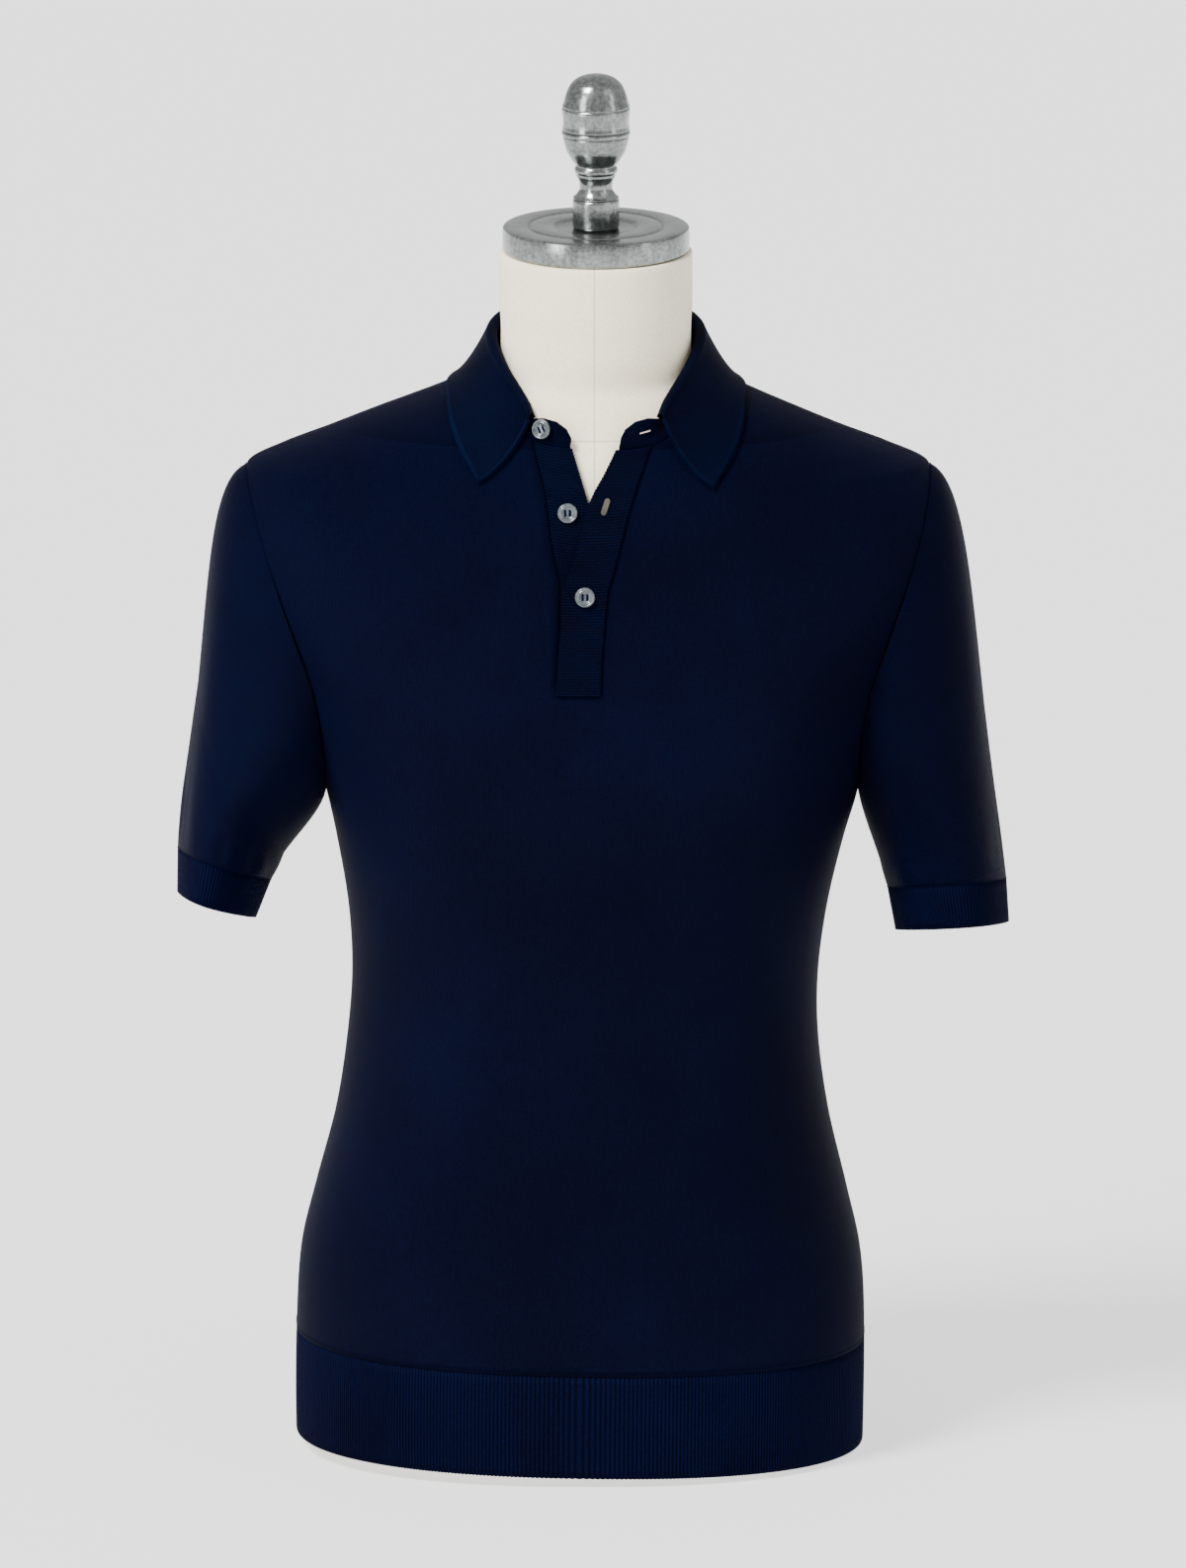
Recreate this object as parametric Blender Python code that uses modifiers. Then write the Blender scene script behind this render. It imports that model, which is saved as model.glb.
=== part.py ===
# Knitted polo shirt worn on a limbless dress form.
# The front faces -Y, +X is at the right of someone who looks at the front, +Z is up.
# The form stands on its flat base at Z = 0, and its neck axis passes through the origin.
# Tables and sizes are in millimetres. Points become metres where a mesh is made.

import math

import bmesh
import bpy
import numpy as np
from mathutils import Matrix, Vector

METRES = 0.001

# cloth
WALL = 1.5
SEAM_GAP = 0.3
SHOULDER_SEAM_GAP = 1.0
SIDE_SEAM_GAP = 0.5
LAYER = WALL + SEAM_GAP
RIB_PITCH = 4.2
RIB_HEIGHT = 0.6
RIB_WALL = 2.0
RIBS_PER_INNER_FACET = 2
BODY_ROWS = 10
SHOULDER_ROWS = 7
FRONT_COLUMNS_EACH = 9
BACK_COLUMNS = 19

# hem and shoulder heights
HEM_BOTTOM = 6.0
HEM_TOP = 74.0
HEM_TILT = -0.018
HEM_TILT_END = 240.0
NECK_POINT = 704.5

# armhole: an upright oval between armpit and shoulder point
ARMPIT = 433.0
SHOULDER_POINT = 644.0
ARMHOLE_FRONT = 66.0
ARMHOLE_BACK = 70.0
ARMHOLE_STEPS = 10

# neckline in plan
NECK_FRONT = 76.5
NECK_POWER = 2.8
NECK_CLEARANCE = 0.5
SURFACE_SEARCH = (560.0, 760.0)

# collar
ROLL_RADIUS = 2.5
ROLL_STEPS = 4
LEAF_STEPS = 5
LEAF_LIFT = 2.7
LEAF_HANG = 6.5
LEAF_FLARE = 3.5
LEAF_BELLY = 6.0
LEAF_KNEE = 0.42
BAND_FOOT_GAP = 0.9
BAND_HOLLOW = 2.1

# placket
SLIT_BOTTOM = 524.5
PLACKET_BOTTOM = 520.5
PLACKET_TOP = 674.0
PLACKET_WIDTH = 28.0
PLACKET_LAP = 5.0

# buttons
BUTTON_RADIUS = 6.35
BUTTON_HEIGHT = 2.6
BUTTON_HOLE_RADIUS = 0.8
BUTTON_HOLE_SPACING = 1.5

# dress form
FORM_INSET = 4.2
FORM_NECK_INSET = 3.5
FORM_HALF_COLUMNS = 14
FORM_DROP = 1.6
FORM_STUMP = 4.0
STUMP_EDGE = 12.0
STUMP_BELOW = 20.0
STUMP_ABOVE = 8.0
NECK_RISE = 44.0
NECK_HOLLOW = 12.0
NECK_RINGS = (708.0, 714.0, 722.0, 734.0, 748.0)
BASE_RINGS = 4
BASE_RADIUS = 26.0
NECK_TOP = 783.7

# torso, outer face of the cloth: height, shift to the right, half width,
# depth in front of the middle, depth behind it, power of the rounded section
TORSO = [
    (0, -10.6, 182.8, 120.0, 121.0, 2.35),
    (40, -10.4, 183.3, 122.0, 123.0, 2.35),
    (90, -9.8, 182.7, 123.0, 124.0, 2.35),
    (130, -9.6, 179.8, 121.5, 122.5, 2.32),
    (169, -9.4, 170.9, 117.0, 117.5, 2.30),
    (221, -8.9, 158.2, 111.0, 109.0, 2.25),
    (273, -8.4, 151.0, 107.5, 103.0, 2.20),
    (306, -7.2, 149.5, 106.5, 102.0, 2.20),
    (352, -5.4, 152.8, 109.5, 105.0, 2.25),
    (404, -3.6, 162.7, 116.5, 112.0, 2.35),
    (433, -2.5, 170.0, 120.0, 116.0, 2.40),
    (470, -2.5, 178.0, 122.0, 120.0, 2.40),
    (524, -2.5, 190.0, 118.0, 123.0, 2.35),
    (560, -2.6, 200.0, 112.0, 121.0, 2.30),
    (600, -3.0, 212.0, 102.0, 113.0, 2.20),
    (633, -4.0, 217.5, 91.5, 101.0, 2.10),
    (644, -5.0, 218.0, 87.5, 96.0, 2.05),
    (655, -6.0, 198.0, 83.3, 90.5, 2.00),
    (665, -6.2, 171.5, 79.3, 85.0, 2.00),
    (678, -5.5, 139.0, 74.3, 78.5, 2.00),
    (691, -3.0, 106.0, 69.5, 73.0, 2.00),
    (703, -1.0, 79.0, 66.3, 69.3, 2.00),
    (715, -0.3, 67.0, 64.0, 66.0, 2.00),
    (730, 0.0, 62.4, 62.2, 63.0, 2.00),
    (748, 0.0, 61.4, 61.4, 61.4, 2.00),
    (784, 0.0, 61.4, 61.4, 61.4, 2.00),
]
SHIFT, HALF_WIDTH, FRONT, BACK, POWER = range(1, 6)

# armhole seam seen from the front: height, distance from the middle
ARMHOLE = [
    (433, 170.0),
    (470, 171.5),
    (511, 178.0),
    (541, 188.0),
    (569, 198.0),
    (606, 210.0),
    (635, 217.0),
    (644, 218.0),
]

# slit of the front: height, left edge, right edge of the upper placket, its free edge
SLIT = [
    (520, -24.7, 2.5, -24.7),
    (545, -24.2, 3.4, -23.6),
    (566, -23.0, 5.2, -22.0),
    (587, -23.0, 7.6, -20.9),
    (600, -25.5, 11.4, -15.8),
    (614, -28.5, 15.2, -11.4),
    (631, -30.6, 19.6, -7.0),
    (645, -32.6, 24.0, -2.6),
    (660, -36.8, 29.2, 5.8),
    (676, -40.6, 35.2, 13.8),
]

# free edge of the lower placket above the point of the V
LOWER_EDGE = [
    (641, -5.4),
    (651, -8.2),
    (667, -13.3),
    (677, -16.3),
]

# collar, front end to centre back: angle from the front, radius and height of the
# fold, then angle and radius of the leaf's edge
COLLAR = [
    (31.0, 79.0, 692.0, 42.4, 110.5),
    (37.5, 73.5, 699.5, 49.5, 110.5),
    (49.5, 69.3, 709.5, 58.5, 107.5),
    (70.0, 66.3, 722.5, 73.0, 98.5),
    (90.0, 65.8, 730.5, 90.0, 94.0),
    (118.0, 66.2, 736.5, 117.0, 86.5),
    (150.0, 66.8, 739.5, 150.0, 78.0),
    (180.0, 67.0, 740.5, 180.0, 75.0),
]
COLLAR_STEPS = 2

# top of the collar band in front of the fold: angle, radius, height
BAND_TOP = [
    (11.5, 78.6, 678.6),
    (13.5, 79.2, 684.0),
    (18.5, 79.6, 688.8),
    (25.0, 79.6, 690.4),
]

# sleeve ends: side, middle across, half width, middle fore and aft, half depth,
# height at the outer edge, height at the inner edge, for the cuff's lower and upper rim
CUFF_LOWER = {
    "left": (-243.0, 25.3, -12.0, 67.0, 367.0, 349.5),
    "right": (228.3, 36.5, -12.0, 63.0, 347.0, 341.5),
}
CUFF_UPPER = {
    "left": (-237.9, 30.0, -9.0, 67.0, 395.0, 374.0),
    "right": (224.8, 38.2, -9.0, 63.5, 375.0, 369.0),
}
SLEEVE_SIDE = {"left": -1.0, "right": 1.0}
SLEEVE_PUFF = {"left": 3.0, "right": 1.5}
PUFF_START = 0.72

# how the sleeve leaves the armhole and arrives at the cuff, away from the body, to the
# front or back, and up, over the shoulder, at front and back, and under the arm
SLEEVE_LEAVE = {"top": (30, 0, -12), "flank": (15, 8, -42), "under": (3, 0, -20)}
SLEEVE_ARRIVE = {"top": (-23, 0, 145), "flank": (-8, 2, 62), "under": (-4, 0, 20)}
CUFF_POWER = 1.85
CUFF_TILT = 0.22
CREASE_SHIFT = 7.0
CREASE_RAISE = 2.5
SLEEVE_ROWS = 10

# turned profiles: radius, height
CAP_PROFILE = [
    (0.0, 800.0 - 1.6),
    (26.0, 800.0 - 1.6),
    (27.5, 800.0),
    (41.5, 800.0),
    (43.0, 800.0 - 1.2),
    (44.5, 800.0),
    (57.5, 800.0),
    (59.5, 798.2),
    (59.5, 785.6),
    (58.2, 784.0),
    (0.0, 784.0),
]
FINIAL_BASE = 798.7
FINIAL_PROFILE = [
    (0.0, 99.2),
    (7.5, 98.4),
    (15.2, 94.0),
    (18.8, 88.0),
    (20.8, 81.0),
    (21.9, 76.4),
    (21.2, 72.0),
    (20.9, 67.5),
    (21.6, 62.5),
    (20.8, 58.0),
    (18.8, 50.0),
    (15.2, 43.6),
    (12.9, 39.6),
    (13.6, 36.6),
    (12.2, 31.8),
    (10.5, 29.0),
    (10.7, 25.0),
    (14.0, 19.4),
    (14.9, 16.0),
    (14.9, 1.2),
    (13.8, 0.0),
    (0.0, 0.0),
]

# materials: colour, roughness, metallic
FINISHES = {
    "jersey": ((0.0045, 0.0098, 0.026), 0.85, 0.0),
    "rib_knit": ((0.0040, 0.0085, 0.022), 0.88, 0.0),
    "collar_knit": ((0.0050, 0.0125, 0.032), 0.85, 0.0),
    "pearl_button": ((0.20, 0.23, 0.25), 0.25, 0.0),
    "canvas": ((0.72, 0.69, 0.61), 0.85, 0.0),
    "pewter": ((0.42, 0.44, 0.45), 0.35, 1.0),
}


# ---- numbers ----

def smooth_value(rows, column, at):
    """Value of one column at a height, on a smooth curve that never overshoots the rows."""
    knots = [row[0] for row in rows]
    values = [row[column] for row in rows]
    if at <= knots[0]:
        return values[0]
    if at >= knots[-1]:
        return values[-1]
    k = max(i for i in range(len(knots) - 1) if knots[i] <= at)
    step = knots[k + 1] - knots[k]
    slope = (values[k + 1] - values[k]) / step

    def tangent(i):
        if i == 0 or i == len(knots) - 1:
            return slope
        before = (values[i] - values[i - 1]) / (knots[i] - knots[i - 1])
        after = (values[i + 1] - values[i]) / (knots[i + 1] - knots[i])
        if before * after <= 0.0:
            return 0.0
        limit = 2.5 * min(abs(before), abs(after))
        return max(-limit, min(limit, (before + after) / 2.0))

    s = (at - knots[k]) / step
    rise = s * s * (3.0 - 2.0 * s)
    start = s * (1.0 - s) ** 2 * step * tangent(k)
    end = -s * s * (1.0 - s) * step * tangent(k + 1)
    return values[k] + rise * (values[k + 1] - values[k]) + start + end


def blend(a, b, t):
    return a + (b - a) * t


def bezier(a, b, c, d, t):
    r = 1.0 - t
    return a * r ** 3 + b * (3 * r * r * t) + c * (3 * r * t * t) + d * t ** 3


def power_of(value, exponent):
    return math.copysign(abs(value) ** exponent, value)


# ---- torso surface ----

def armhole_height(turn):
    """Height on the armhole at a turn of 0 (shoulder point), 0.5 (armpit), 1 (again the top)."""
    middle = (SHOULDER_POINT + ARMPIT) / 2.0
    return middle + (SHOULDER_POINT - ARMPIT) / 2.0 * math.cos(2.0 * math.pi * turn)


def armhole_depth(z, deepest):
    middle = (SHOULDER_POINT + ARMPIT) / 2.0
    rise = (z - middle) / ((SHOULDER_POINT - ARMPIT) / 2.0)
    return deepest * math.sqrt(max(0.0, 1.0 - rise * rise))


def section(z, face):
    """Shift, half width, depth and power of the front (-1) or back (+1) at one height."""
    shift = smooth_value(TORSO, SHIFT, z)
    width = smooth_value(TORSO, HALF_WIDTH, z)
    depth = smooth_value(TORSO, FRONT if face < 0 else BACK, z)
    power = smooth_value(TORSO, POWER, z)
    if ARMPIT < z < SHOULDER_POINT:
        reach = armhole_depth(z, ARMHOLE_FRONT if face < 0 else ARMHOLE_BACK)
        edge = smooth_value(ARMHOLE, 1, z)
        width = edge / (1.0 - (reach / depth) ** power) ** (1.0 / power)
    return shift, width, depth, power


def torso_point(z, u, face, out=0.0):
    """Point of the torso at u from -1 (left side) to 1 (right side), moved out along its normal."""
    shift, width, depth, power = section(z, face)
    quarter = math.pi / 2.0
    x = shift + width * power_of(math.sin(u * quarter), 2.0 / power)
    y = face * depth * max(0.0, math.cos(u * quarter)) ** (2.0 / power)
    point = Vector((x, y, z))
    if out:
        point += torso_normal(z, u, face) * out
    return point


def torso_normal(z, u, face):
    step_u, step_z = 0.01, 1.0
    across = torso_point(z, min(1.0, u + step_u), face) - torso_point(z, max(-1.0, u - step_u), face)
    up = torso_point(z + step_z, u, face) - torso_point(z - step_z, u, face)
    normal = across.cross(up)
    if normal.y * face < 0.0:
        normal.negate()
    return normal.normalized()


def u_at(x, z, face):
    """The u of the torso point that lies at x."""
    shift, width, _, power = section(z, face)
    ratio = max(-1.0, min(1.0, (x - shift) / width))
    return math.copysign(math.asin(abs(ratio) ** (power / 2.0)) / (math.pi / 2.0), ratio)


def side_limit(z, face):
    """u where a panel ends: at the armhole, or half a seam gap short of the side or shoulder."""
    if ARMPIT < z < SHOULDER_POINT:
        _, width, _, power = section(z, face)
        edge = smooth_value(ARMHOLE, 1, z)
        return math.asin((edge / width) ** (power / 2.0)) / (math.pi / 2.0)
    _, _, depth, power = section(z, face)
    gap = SHOULDER_SEAM_GAP if z > ARMPIT else SIDE_SEAM_GAP
    return math.acos((gap / 2.0 / depth) ** (power / 2.0)) / (math.pi / 2.0)


def neck_reach(face):
    """Shift, half width and depth of the neckline in plan, before or behind the shoulder seams."""
    shift, width, depth, _ = section(NECK_POINT, face)
    return shift, width, NECK_FRONT if face < 0 else depth


def in_neckline(x, y):
    shift, width, depth = neck_reach(-1)
    across, along = abs(x - shift) / (width + NECK_CLEARANCE), abs(y) / (depth + NECK_CLEARANCE)
    return across ** NECK_POWER + along ** NECK_POWER < 1.0


def neckline_plan(angle):
    """Plan point of the neckline, its angle in degrees from the front, right side positive."""
    sine, cosine = math.sin(math.radians(angle)), math.cos(math.radians(angle))
    shift, width, depth = neck_reach(-1 if cosine > 0 else 1)
    power = NECK_POWER if cosine > 0 else 2.0
    total = (abs(sine) / width) ** power + (abs(cosine) / depth) ** power
    radius = total ** (-1.0 / power)
    return shift + radius * sine, -radius * cosine


def surface_height(x, y):
    """Height of the shoulders and upper chest above one point of the plan."""
    low, high = SURFACE_SEARCH
    face = -1 if y < 0 else 1
    for _ in range(40):
        middle = (low + high) / 2.0
        shift, width, depth, power = section(middle, face)
        inside = (abs(x - shift) / width) ** power + (abs(y) / depth) ** power < 1.0
        low, high = (middle, high) if inside else (low, middle)
    return low


def hem_tilt(x, z):
    fade = max(0.0, 1.0 - max(0.0, z - HEM_TOP) / (HEM_TILT_END - HEM_TOP))
    return HEM_TILT * x * fade


# ---- meshes ----

def make_material(name):
    colour, roughness, metallic = FINISHES[name]
    material = bpy.data.materials.new(name)
    material.use_nodes = True
    shader = material.node_tree.nodes["Principled BSDF"]
    shader.inputs["Base Color"].default_value = (*colour, 1.0)
    shader.inputs["Roughness"].default_value = roughness
    shader.inputs["Metallic"].default_value = metallic
    material.diffuse_color = (*colour, 1.0)
    return material


def add_object(name, mesh, finish, smooth_angle=50.0):
    thing = bpy.data.objects.new(name, mesh)
    collection.objects.link(thing)
    mesh.materials.append(materials[finish])
    mesh.shade_smooth()
    mesh.set_sharp_from_angle(angle=math.radians(smooth_angle))
    return thing


def mesh_from(name, points, faces):
    mesh = bpy.data.meshes.new(name)
    mesh.from_pydata([Vector(p) * METRES for p in points], [], faces)
    mesh.validate()
    return mesh


def grid_faces(rows, columns, closed, skip=()):
    faces = []
    for j in range(rows - 1):
        for i in range(columns if closed else columns - 1):
            if (j, i) in skip:
                continue
            k = (i + 1) % columns
            faces.append((j * columns + i, j * columns + k, (j + 1) * columns + k, (j + 1) * columns + i))
    return faces


def cloth_sheet(name, grid, finish, closed=False, skip=(), wall=WALL):
    """Open grid of outer points, given its thickness inwards."""
    columns = len(grid[0])
    points = [point for row in grid for point in row]
    mesh = mesh_from(name, points, grid_faces(len(grid), columns, closed, skip))
    clean = bmesh.new()
    clean.from_mesh(mesh)
    loose = [v for v in clean.verts if not v.link_faces]
    bmesh.ops.delete(clean, geom=loose, context="VERTS")
    clean.to_mesh(mesh)
    clean.free()
    sheet = add_object(name, mesh, finish)
    solidify = sheet.modifiers.new("thickness", "SOLIDIFY")
    solidify.thickness = wall * METRES
    solidify.offset = -1.0
    solidify.use_even_offset = True
    return sheet


def strip_between(first, second, closed):
    """Faces between two unlike rows of point numbers, walked by their share of the way."""
    faces = []
    m, n = len(first), len(second)
    last_m, last_n = (m, n) if closed else (m - 1, n - 1)
    i = j = 0
    while i < last_m or j < last_n:
        if j >= last_n or (i < last_m and (i + 0.5) / last_m <= (j + 0.5) / last_n):
            faces.append((first[i % m], first[(i + 1) % m], second[j % n]))
            i += 1
        else:
            faces.append((first[i % m], second[(j + 1) % n], second[j % n]))
            j += 1
    return faces


def ribbed_wall(name, outer_point, inner_point, ribs, heights, closed, finish):
    """Wall with ribs in its outer points and a plain inside.
    The two functions give a point at a share of the way round and a share of the height."""
    columns = 2 * ribs if closed else 2 * ribs + 1
    inner_faces = max(4, ribs // RIBS_PER_INNER_FACET)
    inner_columns = inner_faces if closed else inner_faces + 1
    outer_grid = [[outer_point(i / (2.0 * ribs), h, i % 2) for i in range(columns)] for h in heights]
    inner_grid = [[inner_point(i / inner_faces, h) for i in range(inner_columns)] for h in heights]
    points = [p for row in outer_grid for p in row]
    base = len(points)
    points += [p for row in inner_grid for p in row]
    faces = grid_faces(len(heights), columns, closed)
    for face in grid_faces(len(heights), inner_columns, closed):
        faces.append(tuple(base + k for k in reversed(face)))
    top = len(heights) - 1
    outer_low = list(range(columns))
    inner_low = [base + i for i in range(inner_columns)]
    outer_high = [top * columns + i for i in range(columns)]
    inner_high = [base + top * inner_columns + i for i in range(inner_columns)]
    faces += [tuple(reversed(f)) for f in strip_between(outer_low, inner_low, closed)]
    faces += strip_between(outer_high, inner_high, closed)
    if not closed:
        for j in range(top):
            a, b = j * columns, (j + 1) * columns
            c, d = base + j * inner_columns, base + (j + 1) * inner_columns
            faces.append((a, b, d, c))
            a, b = a + columns - 1, b + columns - 1
            c, d = c + inner_columns - 1, d + inner_columns - 1
            faces.append((a, c, d, b))
    return add_object(name, mesh_from(name, points, faces), finish, 20.0)


def turned(name, profile, base, steps, finish, place=None):
    """Round piece from a profile that runs down its outer side, turned by a Screw modifier."""
    points = [Vector((radius, 0.0, base + height)) for radius, height in profile]
    edges = [(i, i + 1) for i in range(len(points) - 1)]
    mesh = bpy.data.meshes.new(name)
    mesh.from_pydata([p * METRES for p in points], edges, [])
    piece = bpy.data.objects.new(name, mesh)
    collection.objects.link(piece)
    mesh.materials.append(materials[finish])
    screw = piece.modifiers.new("turn", "SCREW")
    screw.axis = "Z"
    screw.angle = 2.0 * math.pi
    screw.steps = steps
    screw.render_steps = steps
    screw.use_merge_vertices = True
    screw.merge_threshold = 0.00001
    screw.use_smooth_shade = True
    if place is not None:
        piece.matrix_world = place
    return piece


# ---- pieces ----

def panel_heights():
    """Heights of the rows that front and back share."""
    body = list(np.linspace(HEM_TOP + SEAM_GAP, ARMPIT, BODY_ROWS + 1))
    armhole = [armhole_height(0.5 - k / (2.0 * ARMHOLE_STEPS)) for k in range(1, ARMHOLE_STEPS + 1)]
    shoulder = list(np.linspace(SHOULDER_POINT, NECK_POINT, SHOULDER_ROWS + 1))[1:]
    return [float(z) for z in body + armhole + shoulder]


def slit_edges(z):
    """Left and right edge of the front's slit at one height."""
    return smooth_value(SLIT, 1, z), smooth_value(SLIT, 2, z) - PLACKET_LAP


def neck_limit(z):
    """u of the neckline on the front at one height, or 0 below it."""
    start = torso_point(z, 0.0, -1)
    if not in_neckline(start.x, start.y):
        return 0.0
    low, high = 0.0, 1.0
    for _ in range(40):
        middle = (low + high) / 2.0
        point = torso_point(z, middle, -1)
        low, high = (middle, high) if in_neckline(point.x, point.y) else (low, middle)
    return low


def front_panel():
    heights = panel_heights()
    slit_row = min(range(len(heights)), key=lambda j: abs(heights[j] - SLIT_BOTTOM))
    heights[slit_row] = SLIT_BOTTOM
    grid = []
    for z in heights:
        left, right = slit_edges(z)
        neck = neck_limit(z)
        limit = side_limit(z, -1)
        u_left = min(u_at(left, z, -1), -neck)
        u_right = max(u_at(right, z, -1), neck)
        shares = [k / (FRONT_COLUMNS_EACH - 1.0) for k in range(FRONT_COLUMNS_EACH)]
        row_u = [blend(-limit, u_left, s) for s in shares]
        row_u += [blend(u_right, limit, s) for s in shares]
        row = [torso_point(z, u, -1) for u in row_u]
        for point in row:
            point.z += hem_tilt(point.x, z)
        grid.append(row)
    skip = {(j, FRONT_COLUMNS_EACH - 1) for j in range(slit_row, len(heights) - 1)}
    return cloth_sheet("front", grid, "jersey", skip=skip)


def back_panel():
    grid = []
    for z in panel_heights():
        limit = side_limit(z, 1)
        row = [torso_point(z, blend(limit, -limit, k / (BACK_COLUMNS - 1.0)), 1) for k in range(BACK_COLUMNS)]
        for point in row:
            point.z += hem_tilt(point.x, z)
        grid.append(row)
    return cloth_sheet("back", grid, "jersey")


def hem_band(name, face):
    """Half of the ribbed hem, from side seam to side seam."""
    middle = (HEM_BOTTOM + HEM_TOP) / 2.0
    run = [torso_point(middle, k / 50.0 - 1.0, face) for k in range(101)]
    ribs = round(sum((b - a).length for a, b in zip(run, run[1:])) / RIB_PITCH)

    def place(share, height, depth):
        z = blend(HEM_BOTTOM, HEM_TOP, height)
        limit = side_limit(z, face)
        u = blend(limit, -limit, share) * face
        point = torso_point(z, u, face, -depth)
        point.z = z + hem_tilt(point.x, 0.0)
        return point

    def outer(share, height, groove):
        return place(share, height, RIB_HEIGHT * groove)

    def inner(share, height):
        return place(share, height, RIB_WALL)

    return ribbed_wall(name, outer, inner, ribs, (0.0, 1.0), False, "rib_knit")


def cuff_point(rim, side, turn, out=0.0):
    """Point on a rim of the cuff at a turn of 0 (outer edge), 0.25 (front), 0.5 (inner edge)."""
    middle_x, half_width, middle_y, half_depth, outer_z, inner_z = rim
    angle = 2.0 * math.pi * turn
    across = power_of(math.cos(angle), 2.0 / CUFF_POWER)
    along = power_of(math.sin(angle), 2.0 / CUFF_POWER)
    x = middle_x + side * ((half_width + out) * across + CREASE_SHIFT * along * along)
    y = middle_y - (half_depth + out) * along
    z = blend(inner_z, outer_z, (1.0 + across) / 2.0) + CUFF_TILT * (middle_y - y)
    return Vector((x, y, z))


def armhole_point(side, turn, out):
    """Point on the armhole seam, moved outwards by the gap between the two edges."""
    z = armhole_height(turn)
    sine = math.sin(2.0 * math.pi * turn)
    y = -sine * (ARMHOLE_FRONT if sine > 0 else ARMHOLE_BACK)
    x = smooth_value(TORSO, SHIFT, z) + side * (smooth_value(ARMHOLE, 1, z) + out)
    return Vector((x, y, z))


def sleeve_point(name, turn, t):
    """Point of the sleeve at a turn round it and a share t of its length."""
    side = SLEEVE_SIDE[name]
    start = armhole_point(side, turn, SEAM_GAP)
    end = cuff_point(CUFF_UPPER[name], side, turn, 1.0)
    end.z += SEAM_GAP
    angle = 2.0 * math.pi * turn
    top = max(0.0, math.cos(angle)) ** 2
    under = max(0.0, -math.cos(angle)) ** 2
    flank = math.sin(angle) ** 2
    fore = -math.copysign(1.0, math.sin(angle))
    shares = {"top": top, "flank": flank, "under": under}
    leave, arrive = Vector((0, 0, 0)), Vector((0, 0, 0))
    for part, share in shares.items():
        leave += Vector(SLEEVE_LEAVE[part]) * share
        arrive += Vector(SLEEVE_ARRIVE[part]) * share
    leave.y *= fore
    arrive.y *= fore
    leave.x *= side
    arrive.x *= side
    point = bezier(start, start + leave, end + arrive, end, t)
    swell = max(0.0, math.sin(math.pi * max(0.0, t - PUFF_START) / (1.0 - PUFF_START)))
    centre_x = blend(start.x, CUFF_UPPER[name][0], t)
    outward = Vector((point.x - centre_x, point.y * 0.6, 0.0))
    if outward.length > 1.0:
        point += outward.normalized() * SLEEVE_PUFF[name] * swell
    crease = max(0.0, math.sin(angle)) ** 12 * math.sin(math.pi * min(1.0, 0.15 + 0.85 * t) ** 0.7)
    point.y -= CREASE_RAISE * crease
    return point


def sleeve(name):
    columns = 2 * ARMHOLE_STEPS
    rows = []
    for j in range(SLEEVE_ROWS + 1):
        t = (j / SLEEVE_ROWS) ** 1.15
        row = [sleeve_point(name, k / columns, t) for k in range(columns)]
        if name == "left":
            row.reverse()
        rows.append(row)
    return cloth_sheet("sleeve_" + name, rows, "jersey", closed=True)


def cuff(name):
    side = SLEEVE_SIDE[name]
    lower, upper = CUFF_LOWER[name], CUFF_UPPER[name]
    ring = [cuff_point(lower, side, k / 100.0) for k in range(101)]
    ribs = round(sum((b - a).length for a, b in zip(ring, ring[1:])) / RIB_PITCH)

    def place(share, height, depth):
        turn = -side * share
        return cuff_point(lower, side, turn, -depth).lerp(cuff_point(upper, side, turn, -depth), height)

    def outer(share, height, groove):
        return place(share, height, RIB_HEIGHT * groove)

    def inner(share, height):
        return place(share, height, RIB_WALL)

    return ribbed_wall("cuff_" + name, outer, inner, ribs, (0.0, 1.0), True, "rib_knit")


def polar(angle, radius, z):
    return Vector((radius * math.sin(math.radians(angle)), -radius * math.cos(math.radians(angle)), z))


def collar_rows():
    """Stations of the collar from the left front end round the back to the right one."""
    half = []
    for k in range((len(COLLAR) - 1) * COLLAR_STEPS + 1):
        at = k / COLLAR_STEPS
        numbered = [(i, *row) for i, row in enumerate(COLLAR)]
        half.append([smooth_value(numbered, c, at) for c in range(1, 6)])
    left = [(-1.0, row) for row in half]
    right = [(1.0, row) for row in reversed(half[:-1])]
    return left + right


def collar_profile(side, row):
    """Points of one station: over the roll, then down the leaf to its edge."""
    fold_angle, fold_radius, fold_z, edge_angle, edge_radius = row
    points = []
    for k in range(ROLL_STEPS + 1):
        turn = math.pi * (1.0 - k / ROLL_STEPS)
        radius = fold_radius - WALL + ROLL_RADIUS * (1.0 + math.cos(turn))
        points.append(polar(side * fold_angle, radius, fold_z - ROLL_RADIUS * (1.0 - math.sin(turn))))
    roll_end = points[-1]
    outward = polar(side * fold_angle, LEAF_FLARE, 0.0)
    hang = roll_end + outward - Vector((0, 0, LEAF_HANG))
    knee = polar(side * blend(fold_angle, edge_angle, LEAF_KNEE),
                 blend(fold_radius, edge_radius, LEAF_KNEE) + LEAF_BELLY, 0.0)
    knee.z = surface_height(knee.x, knee.y) + LEAF_LIFT
    edge = polar(side * edge_angle, edge_radius, 0.0)
    edge.z = surface_height(edge.x, edge.y) + LEAF_LIFT
    for k in range(1, LEAF_STEPS + 1):
        points.append(bezier(roll_end, hang, knee, edge, k / LEAF_STEPS))
    return points


def collar():
    grid = [collar_profile(side, row) for side, row in collar_rows()]
    return cloth_sheet("collar", grid, "collar_knit")


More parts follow.
